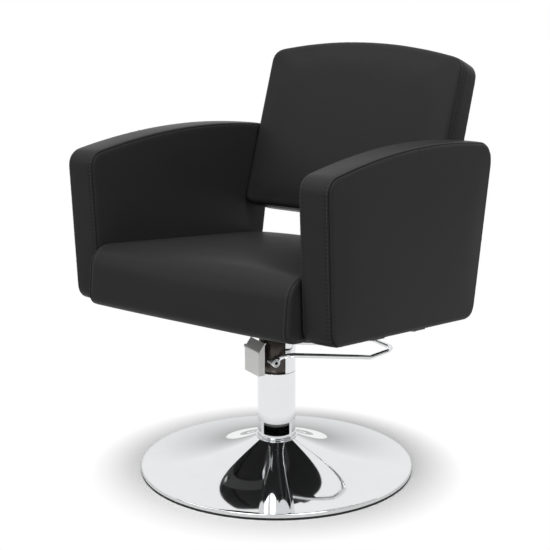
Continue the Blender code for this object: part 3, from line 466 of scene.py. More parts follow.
@dataclass(frozen=True)
class Finish:
    """A plain finish with a soft drift of colour and gloss."""

    name: str
    low: tuple[float, float, float]
    high: tuple[float, float, float]
    metallic: float = 0.0
    smoothest: float = 0.3
    roughest: float = 0.4
    drift: float = 30.0
    specular: float = 0.5
    drift_low: float = 0.3
    drift_high: float = 0.7

    def dress(self, graph: Graph) -> None:
        """Give the shader its colour and gloss."""
        spots = graph.spots()
        drift = graph.noise(spots, self.drift)
        graph.set(
            Metallic=self.metallic,
            Specular_IOR_Level=self.specular,
            # the colour, with any painted shade that the finish adds
            Base_Color=self.with_painted_shade(graph, graph.between(drift, self.low, self.high)),
            Roughness=graph.spread(drift, self.smoothest, self.roughest, self.drift_low, self.drift_high),
        )
        self.texture(graph, spots)

    def with_painted_shade(self, graph: Graph, colour: Socket) -> Socket:
        """Return the colour as it is, with no painted shade."""
        return colour

    def texture(self, graph: Graph, spots: Socket) -> None:
        """Leave the surface smooth."""


@dataclass(frozen=True)
class GrainedFinish(Finish):
    """A finish with pebbles and pores in its surface."""

    pebbles: float = 700.0
    pores: float = 1500.0
    pore_share: float = 0.5
    depth: float = 0.0001
    strength: float = 0.5

    def height(self, graph: Graph, spots: Socket) -> Socket:
        """Return pebbles with finer pores on them."""
        pores = graph.noise(spots, self.pores)
        return graph.maths("MULTIPLY_ADD", pores, self.pore_share, graph.cells(spots, self.pebbles))

    def texture(self, graph: Graph, spots: Socket) -> None:
        """Raise the grain."""
        graph.bump(self.height(graph, spots), self.depth, self.strength)


@dataclass(frozen=True)
class SewnFinish(GrainedFinish):
    """A grained cover that is gathered a little along its seams, with painted shade in the gathers' creases.
    """

    pitch: float = 0.0082
    reach: float = 0.014
    full_from: float = 0.2
    full_to: float = 0.3
    gather: float = 2.5
    # painted shade: the colour that the gathers' creases are darkened towards
    painted_crease_shade: tuple[float, float, float] = (0.012, 0.012, 0.012)

    def gathers(self, graph: Graph) -> Socket:
        """Return the small gathers across the band, from the cover's own seam marks; they sink the surface
        and also say where shade is painted.

        A mark holds the place x along the seam and the distance y into the band, and a gather is
        cos(2 pi x / pitch), no less than nought, faded in and out over shares of the reach by y.
        """
        marks = graph.node("ShaderNodeAttribute", {}, attribute_name=SEAM_MARKS)["Vector"]
        turn = graph.maths("MULTIPLY", graph.part(marks, "X"), 2.0 * math.pi / self.pitch)
        wave = graph.maths("COSINE", turn, use_clamp=True)
        depth = graph.part(marks, "Y")
        rise = graph.spread(depth, 0.0, 1.0, 0.0, self.full_from * self.reach)
        fall = graph.spread(depth, 1.0, 0.0, self.full_to * self.reach, self.reach)
        return graph.maths("MULTIPLY", wave, graph.maths("MULTIPLY", rise, fall))

    def with_painted_shade(self, graph: Graph, colour: Socket) -> Socket:
        """Return the colour with painted shade: darker in the gathers' creases."""
        # painted shade, not the vinyl's own colour, darkens the creases
        return graph.between(self.gathers(graph), colour, self.painted_crease_shade)

    def height(self, graph: Graph, spots: Socket) -> Socket:
        """Return the grain, with the gathers sunk into it."""
        return graph.maths("MULTIPLY_ADD", self.gathers(graph), -self.gather, super().height(graph, spots))


@dataclass(frozen=True)
class LayeredFinish(Finish):
    """A wood finish with long fibres along X."""

    fibres: float = 260.0
    stretch: tuple[float, float, float] = (0.08, 1.0, 2.0)
    detail: float = 4.0
    depth: float = 0.0002
    strength: float = 0.6

    def texture(self, graph: Graph, spots: Socket) -> None:
        """Raise the fibres."""
        fibres = graph.noise(graph.spots(self.stretch), self.fibres, self.detail)
        graph.bump(fibres, self.depth, self.strength)


@functools.cache
def material_of(finish: Finish) -> bpy.types.Material:
    """Return the one material of a finish."""
    material = bpy.data.materials.new(finish.name)
    finish.dress(Graph(material))
    return material


CHROME = Finish("polished_chrome", (0.76, 0.77, 0.78), (0.80, 0.81, 0.82), 1.0, 0.03, 0.05, 25.0)
ZINC = GrainedFinish(
    "zinc_plate", (0.50, 0.51, 0.53), (0.62, 0.62, 0.61), 1.0, 0.28, 0.42, 60.0, depth=0.00004
)
BLACK_PAINT = GrainedFinish(
    "satin_black_paint", (0.018, 0.018, 0.019), (0.026, 0.026, 0.027), 0.0, 0.38, 0.5, 40.0, depth=0.00006
)
CASTING = GrainedFinish(
    "dark_casting", (0.060, 0.051, 0.045), (0.085, 0.073, 0.064), 0.7, 0.26, 0.36, 90.0, depth=0.00003
)
BRONZE = Finish("turned_bronze", (0.55, 0.38, 0.16), (0.68, 0.49, 0.22), 1.0, 0.25, 0.4, 80.0)
RUBBER = GrainedFinish(
    "black_rubber", (0.012, 0.012, 0.012), (0.02, 0.02, 0.02), 0.0, 0.6, 0.75, 50.0, 0.3, depth=0.0001
)
NYLON = Finish("natural_nylon", (0.68, 0.67, 0.62), (0.76, 0.75, 0.71), 0.0, 0.4, 0.5, 60.0)
ALLOY = Finish("machined_alloy", (0.55, 0.55, 0.57), (0.65, 0.65, 0.66), 1.0, 0.3, 0.45, 150.0)
PLYWOOD = LayeredFinish("raw_plywood", (0.36, 0.22, 0.11), (0.52, 0.36, 0.21), 0.0, 0.55, 0.7, 18.0)
VINYL = SewnFinish(
    "black_vinyl", (0.0248, 0.0248, 0.0251), (0.0276, 0.0276, 0.0279), 0.0, 0.36, 0.42, 9.0, 0.045,
    pebbles=650.0, pores=1600.0, depth=0.0001, strength=0.35,
)
THREAD = GrainedFinish(
    "dark_thread", (0.020, 0.020, 0.020), (0.030, 0.030, 0.030), 0.0, 0.45, 0.6, 400.0, pebbles=2500.0
)
SILVER_PAINT = Finish("silver_paint", (0.66, 0.66, 0.65), (0.72, 0.72, 0.71), 0.45, 0.30, 0.38, 40.0)

CAD_FINISHES = {
    "chrome": CHROME,
    "bright_steel": ZINC,
    "dark_steel": BLACK_PAINT,
    "iron": CASTING,
    "bronze": BRONZE,
    "rubber": RUBBER,
    "nylon": NYLON,
    "alloy": ALLOY,
    "plywood": PLYWOOD,
    "vinyl": VINYL,
}


def dress_frame(frame: dict) -> None:
    """Give every CAD node the finish of its slot in the record."""
    for part in frame["record"]["subparts"]:
        node = frame["nodes"][part["node"]]
        slot = part["material_slot"]
        node.data.materials.clear()
        node.data.materials.append(material_of(CAD_FINISHES[slot]))


# Frames of reference


@dataclass(frozen=True)
class SeatFrame:
    """The tilted seat plane: x across, y to the back, z up from the underside of the boards."""

    level: float = 0.361
    tilt: float = math.radians(6.0)

    def place(self, x: Array, y: Array, z: Array) -> Array:
        """Return points of the row frame."""
        cosine, sine = math.cos(self.tilt), math.sin(self.tilt)
        return joined(x, y * cosine + z * sine, self.level - y * sine + z * cosine)


@dataclass(frozen=True)
class BackFrame:
    """The leaning backrest plane: x across, v up, depth forward from the rear face."""

    seat: SeatFrame
    front_foot: float = 0.1896
    foot_height: float = 0.1989
    lean: float = math.radians(12.6)
    thickness: float = 0.080

    def beside(self, v: Array, depth: Array) -> tuple[Array, Array]:
        """Return places y and z of the seat frame."""
        cosine, sine = math.cos(self.lean), math.sin(self.lean)
        y = self.front_foot + v * sine + (self.thickness - depth) * cosine
        z = self.foot_height + v * cosine - (self.thickness - depth) * sine
        return y, z

    def place(self, x: Array, v: Array, depth: Array) -> Array:
        """Return points of the row frame."""
        return self.seat.place(x, *self.beside(v, depth))


@dataclass(frozen=True)
class PumpFrame:
    """The pump's own axes: u along the lever from the column's axis, t to its near side, z up."""

    heading: float = math.radians(67.0)
    shaft_offset: float = 0.027

    def place(self, u: Array, t: Array, z: Array) -> Array:
        """Return points of the row frame."""
        cosine, sine = math.cos(self.heading), math.sin(self.heading)
        return joined(u * cosine + t * sine, u * sine - t * cosine, z)

    @staticmethod
    def shaft_level() -> float:
        """Return the height of the lever shaft's axis."""
        low, high = span("lever_shaft")
        return float(low[2] + high[2]) / 2

    def along_shaft(self, a: Array, b: Array, t: Array) -> Array:
        """Return points of the row frame: a ahead of the shaft's axis, b above it and t along it."""
        return self.place(a - self.shaft_offset, t, b + self.shaft_level())


SEAT = SeatFrame()
BACK = BackFrame(SEAT)
PUMP = PumpFrame()


# Upholstery


@dataclass(frozen=True)
class Inflation:
    """Blows a cover up against its seams with a cloth simulation on a coarse copy."""

    voxel: float = 0.007
    pressure: float = 4.0
    frames: int = 20
    cap: float = 0.003
    seam_hold: float = 0.009
    neighbours: int = 40
    even: float = 0.02
    quality: int = 5
    mass: float = 0.4
    stretch_stiffness: float = 20.0
    shear_stiffness: float = 12.0
    bending_stiffness: float = 2.0

    def coarse_copy(self, points: Array, faces: list) -> Piece:
        """Return a copy of the cover with even cells, by voxel remesh."""
        rough = put("rough_cover", make_mesh("rough_cover", points, faces))
        remesh = rough.modifiers.new("even_cells", "REMESH")
        remesh.mode = "VOXEL"
        remesh.voxel_size = self.voxel
        view = bpy.context.evaluated_depsgraph_get()
        mesh = bpy.data.meshes.new_from_object(rough.evaluated_get(view))
        bpy.data.objects.remove(rough)
        return put("cover_copy", mesh)

    def blow(self, copy: Piece, held: Array) -> Array:
        """Run the cloth with some points held, and return where the points end up.

        Args:
            copy: the cover's coarse copy.
            held: the numbers of the points that don't move.

        Returns:
            The points after the last frame.
        """
        copy.vertex_groups.new(name="held").add(held.tolist(), 1.0, "REPLACE")
        cloth = copy.modifiers.new("cover", "CLOTH")
        settings = cloth.settings
        settings.quality = self.quality
        settings.mass = self.mass
        settings.tension_stiffness = settings.compression_stiffness = self.stretch_stiffness
        settings.shear_stiffness = self.shear_stiffness
        settings.bending_stiffness = self.bending_stiffness
        settings.use_pressure = True
        settings.uniform_pressure_force = self.pressure
        settings.vertex_group_mass = "held"
        settings.effector_weights.gravity = 0.0
        cloth.point_cache.frame_end = self.frames
        scene = bpy.context.scene
        for frame in range(1, self.frames + 1):
            scene.frame_set(frame)
        after = coordinates_of(copy.evaluated_get(bpy.context.evaluated_depsgraph_get()).data)
        scene.frame_set(1)
        return after

    def moves(self, points: Array, faces: list, seams: Array) -> Array:
        """Return how far each point of a cover moves when it is blown up.

        A point takes the mean move of the nearest points of the coarse copy, weighted by
        1 / (distance^2 + even^2), and a move of length d becomes cap tanh(d / cap).

        Args:
            points: the cover's points.
            faces: its faces.
            seams: the points of its seams, which are held.

        Returns:
            One move for each point.
        """
        copy = self.coarse_copy(points, faces)
        before = coordinates_of(copy.data)
        _, gap = nearest(before, seams, 1)
        held = np.flatnonzero(gap[:, 0] < self.seam_hold ** 2)
        moved = self.blow(copy, held) - before
        LOG.info("cover of %d points blown up, %d held", len(before), len(held))
        bpy.data.objects.remove(copy)
        length = np.linalg.norm(moved, axis=1, keepdims=True)
        moved = moved * self.cap * np.tanh(length / self.cap) / np.maximum(length, 1e-9)
        numbers, squares = nearest(points, before, self.neighbours)
        weight = 1.0 / (squares + self.even ** 2)
        return np.sum(moved[numbers] * weight[..., None], axis=1) / np.sum(weight, axis=1, keepdims=True)


@dataclass(frozen=True)
class Stitching:
    """Rows of short threads, each a capsule that lies on the cover.

    The rings of a capsule are shares of its length, radius and lift, from one end to the other.
    """

    pitch: float = 0.0050
    length: float = 0.0034
    radius: float = 0.0006
    lift: float = 0.0002
    sides: int = 6
    look_ahead: float = 0.001
    end: tuple[float, float, float] = (0.5, 0.35, -1.2)
    shoulder: tuple[float, float, float] = (0.42, 0.85, 0.0)
    middle: tuple[float, float, float] = (0.0, 1.0, 1.0)

    def rings(self) -> Array:
        """Return the place along the thread, the radius and the lift of each ring."""
        half = np.array([self.end, self.shoulder, self.middle])
        shares = np.concatenate([half * [-1.0, 1.0, 1.0], half[-2::-1]])
        return shares * [self.length, self.radius, self.lift]

    def row(self, line: Array, normal: Array) -> Array:
        """Return the stitches along a closed line.

        A stitch is P + x T + r(x) cos a S + (r(x) sin a + lift(x)) N, with T along the line, N the
        cover's normal, S = N x T, and x, r and lift from the capsule's rings.

        Args:
            line: the line's points, the first not repeated at the end.
            normal: the cover's normals there.

        Returns:
            The points, by stitch, place along it and side.
        """
        loop = np.concatenate([line, line[:1]])
        middle = (np.arange(int(travelled(loop)[-1] / self.pitch)) + 0.5) * self.pitch
        spot = along(loop, middle)
        ahead = unit(along(loop, middle + self.look_ahead) - along(loop, middle - self.look_ahead))
        up = along(loop, middle, np.concatenate([normal, normal[:1]]))
        aside = unit(np.cross(up, ahead))
        up = np.cross(ahead, aside)
        place, thick, lift = self.rings().T[..., None, None]
        ring = circle(1.0, self.sides)
        grid = spot[:, None, None] + ahead[:, None, None] * place
        grid = grid + aside[:, None, None] * thick * ring[:, :1]
        return grid + up[:, None, None] * (thick * ring[:, 1:] + lift)

    def build(self, name: str, rows: list[tuple[Array, Array]]) -> Piece:
        """Build all the stitches of a cover as one piece."""
        grid = np.concatenate([self.row(line, normal) for line, normal in rows])
        return make_piece(name, grid, rod_faces(grid), THREAD, Body.SEAT, "vinyl")


@dataclass
class BandSection:
    """The section of a padded panel's band, row by row."""

    points: Array
    outward: Array
    gap: Array
    seam_rows: list[int]
    stitch_rows: list[int]


@dataclass
class PaddedPanel:
    """A sewn, padded body: two face panels joined by a band that runs round an outline.

    The outline lies in a plane (a, b), counter-clockwise, with arched edges. The band's surface is
    O(s) + inset(q) I(s) in that plane and depth(q) across it, where O is the outline, I its inward
    normal and (inset, depth) a section with rounded edges and a seam at each edge. The faces are Coons
    patches that fill the band's first and last rows.
    """

    name: str
    nodes: tuple[str, ...]
    place: Place
    corners: Array
    radii: Array
    rises: Array
    rear: float
    front: float
    edges: tuple[float, float] = (0.012, 0.012)
    seam_turns: tuple[float, float] = (0.5, 0.5)
    strip: float = 0.02
    rear_crown: float = 0.0025
    front_crown: float = 0.0025
    crown_reach: float = 0.04
    swell: float = 0.002
    cell: float = 0.0055
    fill: float = 0.9
    gathered: bool = True
    blow: Inflation = Inflation()
    stitching: Stitching = Stitching()
    seed: int = 7

    bend_points: int = 33
    edge_points: int = 96
    smoothings: int = 3
    section_points: int = 24
    seam_row_offsets: tuple[float, ...] = (0.0006, 0.0012, 0.0019, 0.0029)
    last_row_offset: float = 0.0065
    row_clearance: float = 0.001
    row_margin: float = 0.3
    seam_depth: float = 0.0024
    seam_width: float = 0.0009
    pinch_depth: float = 0.0005
    pinch_width: float = 0.006
    stitch_offset: float = 0.0045
    stitch_dip: float = 0.00025
    stitch_dip_width: float = 0.001
    pucker_depth: float = 0.0005
    pucker_length: float = 0.017
    pucker_start: float = 0.002
    pucker_reach: float = 0.009
    pucker_waves: int = 8
    pucker_drifts: int = 4
    pucker_gain: float = 1.6
    pucker_base: float = 0.6

    def counts(self) -> tuple[int, int]:
        """Return how many cells run along the first and the second pair of edges."""
        lengths = np.linalg.norm(np.roll(self.corners, -1, axis=0) - self.corners, axis=1)
        return round(max(lengths[0], lengths[2]) / self.cell), round(max(lengths[1], lengths[3]) / self.cell)

    def chords(self) -> tuple[Array, Array]:
        """Return the outline's straight edges and their outward normals."""
        chord = np.roll(self.corners, -1, axis=0) - self.corners
        return chord, unit(np.stack([chord[:, 1], -chord[:, 0]], axis=-1))

    def outline(self) -> tuple[Array, Array]:
        """Return the outline's points from the middle of the first corner, and their inward normals.

        An edge is corner + s chord + 4 rise s (1 - s) outward, and the corners are circular arcs
        between the directions in which two such edges meet.
        """
        chord, outward = self.chords()
        bow = 4.0 * self.rises[:, None] * outward
        leave = unit(chord + bow)
        back = -np.roll(unit(chord - bow), 1, axis=0)
        half = 0.5 * np.arccos(np.sum(leave * back, axis=1))
        reach = self.radii / np.tan(half)
        start, stop = self.corners + back * reach[:, None], self.corners + leave * reach[:, None]
        bends = arcs(start, self.corners, stop, np.sin(half), self.bend_points)
        length = np.linalg.norm(chord, axis=1)
        first, last = reach / length, 1.0 - np.roll(reach, -1) / length
        inner = np.linspace(0.0, 1.0, self.edge_points + 2)[None, 1:-1]
        s = (first[:, None] + (last - first)[:, None] * inner)[..., None]
        lines = self.corners[:, None] + s * chord[:, None] + s * (1.0 - s) * bow[:, None]
        loop = np.concatenate([bends, lines], axis=1).reshape(-1, 2)
        loop = np.roll(loop, -(self.bend_points // 2), axis=0)
        loop = np.concatenate([loop, loop[:1]])
        stride = self.bend_points + self.edge_points
        cells = self.counts() * 2
        sides = [resampled(loop[i * stride:(i + 1) * stride + 1], n + 1)[:-1] for i, n in enumerate(cells)]
        points = np.concatenate(sides)
        for _ in range(self.smoothings):
            points = 0.5 * points + 0.25 * (np.roll(points, 1, axis=0) + np.roll(points, -1, axis=0))
        direction = unit(np.roll(points, -1, axis=0) - np.roll(points, 1, axis=0))
        return points, np.stack([-direction[:, 1], direction[:, 0]], axis=-1)

    def section(self) -> BandSection:
        """Return the band's section: (inset, depth), outward normals and distances to the nearest seam."""
        strip = max(self.strip, *self.edges)
        square = np.array([[strip, self.rear], [0.0, self.rear], [0.0, self.front], [strip, self.front]])
        path = rounded(square, np.array([0.0, *self.edges, 0.0]), self.section_points, closed=False)
        total = travelled(path)[-1]
        quarter = np.pi / 2.0 * np.array(self.seam_turns) - 1.0
        first, second = strip + np.array(self.edges) * quarter
        seams = np.array([first, total - second])
        offsets = np.array([0.0, *self.seam_row_offsets, self.stitch_offset, self.last_row_offset])
        offsets = np.concatenate([-offsets[:0:-1], offsets])
        rows = np.linspace(0.0, total, round(total / self.cell) + 1)
        least_gap = self.last_row_offset + self.row_margin * self.cell
        far = np.min(np.abs(rows[:, None] - seams), axis=1) > least_gap
        far[[0, -1]] = True
        near = (seams[:, None] + offsets).ravel()
        near = near[(near > self.row_clearance) & (near < total - self.row_clearance)]
        rows = np.sort(np.concatenate([rows[far], near]))
        step = 1e-4
        direction = unit(along(path, rows + step) - along(path, rows - step))
        gaps = rows[:, None] - seams
        gap = np.take_along_axis(gaps, np.argmin(np.abs(gaps), axis=1)[:, None], axis=1)[:, 0]
        stitches = seams + np.array([1.0, -1.0]) * self.stitch_offset
        return BandSection(
            along(path, rows),
            np.stack([-direction[:, 1], direction[:, 0]], axis=-1),
            gap,
            np.argmin(np.abs(gaps), axis=0).tolist(),
            np.argmin(np.abs(rows[:, None] - stitches), axis=0).tolist(),
        )

    def rise(self, spots: Array) -> Array:
        """Return how far the padding has risen at places of the outline's plane, from nought to one.

        It is the product over the edges of 1 - exp(-d / reach), with d the distance from the arched
        edge, over the same product in the middle.
        """
        chord, outward = self.chords()

        def product(points: Array) -> Array:
            away = points[..., None, :] - self.corners
            s = np.sum(away * chord, axis=-1) / np.sum(chord ** 2, axis=-1)
            depth = 4.0 * self.rises * s * (1.0 - s) - np.sum(away * outward, axis=-1)
            return np.prod(1.0 - np.exp(-np.maximum(depth, 0.0) / self.crown_reach), axis=-1)

        return product(spots) / product(self.corners.mean(axis=0))

    def band_swell(self, points: Array, inward: Array, share: Array) -> Array:
        """Return how far the band stands out, by row and place along the outline.

        Args:
            points: the outline's points.
            inward: their inward normals.
            share: each row's share of the way across the band.

        Returns:
            swell * (1 - (2 share - 1)^2), in one column because it is the same all along.
        """
        return self.swell * (1.0 - (2.0 * share[:, None] - 1.0) ** 2)

    def puckers(self, outline: Array) -> Array:
        """Return small waves round the outline, between about -1 and 1.

        They are a sum of seeded cosines whose lengths lie round pucker_length, times a slower one.
        """
        chance = np.random.default_rng(self.seed)
        turn = np.linspace(0.0, 2.0 * np.pi, len(outline), endpoint=False)[:, None]
        main = travelled(outline)[-1] / self.pucker_length

        def waves(least: float, most: float, last_phase: float, count: int) -> Array:
            number = np.round(main * chance.uniform(least, most, count))
            return np.cos(turn * number + chance.uniform(0.0, last_phase, count)).mean(axis=1)

        quick = waves(least=0.6, most=1.5, last_phase=2.0 * np.pi, count=self.pucker_waves)
        slow = waves(least=0.05, most=0.2, last_phase=6.0, count=self.pucker_drifts)
        return self.pucker_gain * quick * (self.pucker_base + slow)

    def stand(self, band: BandSection, outline: Array, inward: Array, sewn: bool) -> Array:
        """Return how far the band stands out of its section, by row and place along the outline.

        The swell, less a groove seam_depth exp(-(g / seam_width)^2) and a wider pinch along each seam
        at distance g, a dip for the stitches, and puckers that fade by exp(-|g| / pucker_reach).

        Args:
            band: the band's section.
            outline: the outline's points.
            inward: their inward normals.
            sewn: whether the seams' marks are added to the swell.

        Returns:
            The distances out of the section.
        """
        share = np.clip((band.points[:, 1] - self.rear) / (self.front - self.rear), 0.0, 1.0)
        swell = self.band_swell(outline, inward, share) * band.outward[:, :1] ** 2
        if not sewn:
            return swell
        gap = np.abs(band.gap)
        groove = self.seam_depth * np.exp(-(gap / self.seam_width) ** 2)
        groove = groove + self.pinch_depth * np.exp(-(gap / self.pinch_width) ** 2)
        dip = (gap - self.stitch_offset) / self.stitch_dip_width
        groove = groove + self.stitch_dip * np.exp(-dip ** 2)
        clear = 1.0 - np.exp(-(gap / self.pucker_start) ** 2)
        fade = self.pucker_depth * np.exp(-gap / self.pucker_reach) * clear
        return swell - groove[:, None] + fade[:, None] * self.puckers(outline)[None]

    def surface(self, sewn: bool) -> tuple[Array, list, Array]:
        """Return the body's points and faces, and the band's point numbers by row."""
        outline, inward = self.outline()
        band = self.section()
        stand = self.stand(band, outline, inward, sewn)
        inset = band.points[:, :1] + stand * band.outward[:, :1]
        spots = outline[None] + inset[..., None] * inward[None]
        crown = np.where(band.outward[:, 1:] > 0.0, self.front_crown, self.rear_crown) * band.outward[:, 1:]
        depth = band.points[:, 1:] + stand * band.outward[:, 1:] + crown * self.rise(spots)
        grid = self.place(spots[..., 0], spots[..., 1], depth)
        index = numbered(grid)
        points = [grid.reshape(-1, 3)]
        faces = [grid_quads(index, close_columns=True)]
        first_new = index.size
        for row, level, height in ((0, self.rear, -self.rear_crown), (-1, self.front, self.front_crown)):
            flat = self.fill_ring(spots[row])
            patch = self.place(flat[..., 0], flat[..., 1], level + height * self.rise(flat))
            numbers = self.ring_numbers(index[row], first_new)
            inner = patch[1:-1, 1:-1].reshape(-1, 3)
            first_new += len(inner)
            points.append(inner)
            faces.append(grid_quads(numbers))
        return np.concatenate(points), faces, index

    def ring_sides(self, ring: Array) -> tuple[Array, Array, Array, Array]:
        """Return a ring's bottom, right, top and left, each with both corners, to the right or upward."""
        loop = np.concatenate([ring, ring[:1]])
        cuts = np.cumsum((0, *self.counts() * 2))
        bottom, right, top, left = (loop[start:stop + 1] for start, stop in zip(cuts, cuts[1:]))
        return bottom, right, top[::-1], left[::-1]

    def fill_ring(self, ring: Array) -> Array:
        """Return the Coons patch of a ring: the sum of its two ruled surfaces less the bilinear one."""
        bottom, right, top, left = self.ring_sides(ring)
        u = np.linspace(0.0, 1.0, len(bottom))[None, :, None]
        w = np.linspace(0.0, 1.0, len(right))[:, None, None]
        ruled = (1.0 - w) * bottom[None] + w * top[None] + (1.0 - u) * left[:, None] + u * right[:, None]
        corner = (1.0 - u) * (1.0 - w) * bottom[0] + u * (1.0 - w) * bottom[-1]
        corner = corner + (1.0 - u) * w * top[0] + u * w * top[-1]
        return ruled - corner

    def ring_numbers(self, ring: Array, first_new: int) -> Array:
        """Return a patch's point numbers: the ring's at its rim and new ones inside."""
        bottom, right, top, left = self.ring_sides(ring)
        grid = np.empty((len(right), len(bottom)), int)
        grid[0], grid[-1] = bottom, top
        grid[:, 0], grid[:, -1] = left, right
        inside = grid[1:-1, 1:-1]
        inside[:] = first_new + np.arange(inside.size).reshape(inside.shape)
        return grid

    def mark_seams(self, piece: Piece, index: Array, band: BandSection) -> None:
        """Store for the finish each point's place along the outline and its distance into the band."""
        outline = self.outline()[0]
        rows = np.arange(len(band.gap))
        first, last = band.seam_rows
        inside = np.where((rows > first) & (rows < last) & self.gathered, 1.0, -1.0) * np.abs(band.gap)
        marks = np.full((len(piece.data.vertices), 2), -1.0)
        marks[index] = joined(travelled(outline), inside[:, None])
        layer = piece.data.attributes.new(SEAM_MARKS, "FLOAT2", "POINT")
        layer.data.foreach_set("vector", marks.ravel())

    def build(self) -> Piece:
        """Build the padded piece and the thread of its seams."""
        points, faces, index = self.surface(sewn=True)
        band = self.section()
        plain = self.surface(sewn=False)[0]
        points = points + self.blow.moves(plain, faces, plain[index[band.seam_rows].ravel()])
        piece = make_piece(self.name, points, faces, VINYL, Body.SEAT, "vinyl", *self.nodes)
        self.mark_seams(piece, index, band)
        grid = points[index]
        across = np.gradient(grid, axis=0)
        beside = np.roll(grid, -1, axis=1) - np.roll(grid, 1, axis=1)
        normal = unit(np.cross(beside, across))
        outward = np.sum(normal * (grid - points.mean(axis=0)), axis=-1).mean()
        normal = normal * np.sign(outward)
        self.stitching.build(f"{self.name}_stitches", [(grid[row], normal[row]) for row in band.stitch_rows])
        return piece


@dataclass
class SeatCushion(PaddedPanel):
    """The seat: its outline is the side view, and its band the panel that runs over top and front."""

    top_crown: float = 0.016
    front_bulge: float = 0.004
    across_power: float = 2.6
    along_power: int = 4

    def band_swell(self, points: Array, inward: Array, share: Array) -> Array:
        """Return the swell of the top and front panel.

        Across the seat it is 1 - |2 share - 1|^across_power; along the outline it is the crown where
        the panel faces up, times 1 - e^along_power with e the place along the seat from -1 to 1, and
        the bulge where it faces forward.
        """
        across = 1.0 - np.abs(2.0 * share - 1.0) ** self.across_power
        low, high = points[:, 0].min(), points[:, 0].max()
        place = (2.0 * points[:, 0] - low - high) / (high - low)
        upward = np.clip(-inward[:, 1], 0.0, 1.0) * self.top_crown * (1.0 - place ** self.along_power)
        forward = np.clip(inward[:, 0], 0.0, 1.0) * self.front_bulge
        return across[:, None] * (upward + forward)[None]


@dataclass
class Upholstery:
    """The padded arms, seat and backrest.

    Bends are corner radii in the outline's order: from the lower front or left corner to the lower
    rear or right one, and on over the top.
    """

    arm_foot: float = 0.0015
    arm_foot_front: float = -0.2730
    arm_foot_rear: float = 0.2782
    arm_top_front: tuple[float, float] = (-0.3229, 0.314)
    arm_top_rear: tuple[float, float] = (0.3076, 0.383)
    arm_bends: tuple[float, ...] = (0.030, 0.030, 0.045, 0.032)
    arm_arch: float = 0.0266
    arm_crown: float = 0.002
    seat_half: float = 0.2577
    seat_foot: float = -0.00015
    seat_top: float = 0.127
    seat_front: float = -0.3164
    seat_rear: float = 0.272
    seat_bends: tuple[float, ...] = (0.026, 0.012, 0.03, 0.045)
    seat_side_crown: float = 0.0003
    back_half: float = 0.2570
    back_taper: float = 0.001
    back_foot: float = 0.0015
    back_height: float = 0.372
    back_bends: tuple[float, ...] = (0.0205, 0.0205, 0.032, 0.032)
    back_arch: float = 0.030
    back_crown: float = 0.014

    def build(self) -> list[Piece]:
        """Build the four padded bodies."""
        return [*(self.arm(side) for side in Side), self.seat(), self.backrest()]

    def arm(self, side: Side) -> Piece:
        """Build one arm panel, which stands in a plane along the seat."""
        low, high = span("arm_right")
        lower = [[self.arm_foot_front, self.arm_foot], [self.arm_foot_rear, self.arm_foot]]
        name = f"arm_{side.name.lower()}"
        panel = PaddedPanel(
            f"{name}_padding",
            (name, f"arm_rail_{side.name.lower()}"),
            lambda y, z, x: SEAT.place(side.value * x, y, z),
            np.array([*lower, self.arm_top_rear, self.arm_top_front]),
            np.array(self.arm_bends),
            np.array([0.0, 0.0, self.arm_arch, 0.0]),
            low[0] + self.arm_crown,
            high[0] - self.arm_crown,
            edges=(0.008, 0.008),
            seam_turns=(0.5, 0.6),
            rear_crown=self.arm_crown,
            front_crown=self.arm_crown,
            swell=0.0015,
            seed=11 + side.value,
        )
        return panel.build()

    def seat(self) -> Piece:
        """Build the seat cushion."""
        front, rear, foot, top = self.seat_front, self.seat_rear, self.seat_foot, self.seat_top
        cushion = SeatCushion(
            "seat_padding",
            ("seat_cushion", "seat_board"),
            lambda y, z, x: SEAT.place(x, y, z),
            np.array([[front, foot], [rear, foot], [rear, top], [front, top]]),
            np.array(self.seat_bends),
            np.zeros(4),
            -self.seat_half,
            self.seat_half,
            edges=(0.009, 0.009),
            seam_turns=(0.9, 0.9),
            strip=0.0095,
            rear_crown=self.seat_side_crown,
            front_crown=self.seat_side_crown,
            gathered=False,
            seed=3,
        )
        return cushion.build()

    def backrest(self) -> Piece:
        """Build the backrest with its upholstered rear."""
        half, foot, top = self.back_half, self.back_foot, self.back_height
        top_half = half - self.back_taper
        panel = PaddedPanel(
            "backrest_padding",
            ("backrest", "back_board"),
            BACK.place,
            np.array([[-half, foot], [half, foot], [top_half, top], [-top_half, top]]),
            np.array(self.back_bends),
            np.array([0.0, 0.0, self.back_arch, 0.0]),
            0.0,
            BACK.thickness,
            edges=(0.004, 0.0175),
            seam_turns=(0.5, 1.15),
            strip=0.018,
            rear_crown=0.0,
            front_crown=self.back_crown,
            crown_reach=0.05,
            swell=0.001,
            seed=5,
        )
        return panel.build()


# Metalwork


def turned_piece(name: str, profile: Array, finish: Finish, body: Body, slot: str, *nodes: str) -> Piece:
    """Make a ring or tube from a closed profile (r, z) turned about the Z axis."""
    points = turned(profile)
    return make_piece(name, points, ring_faces(points), finish, body, slot, *nodes)


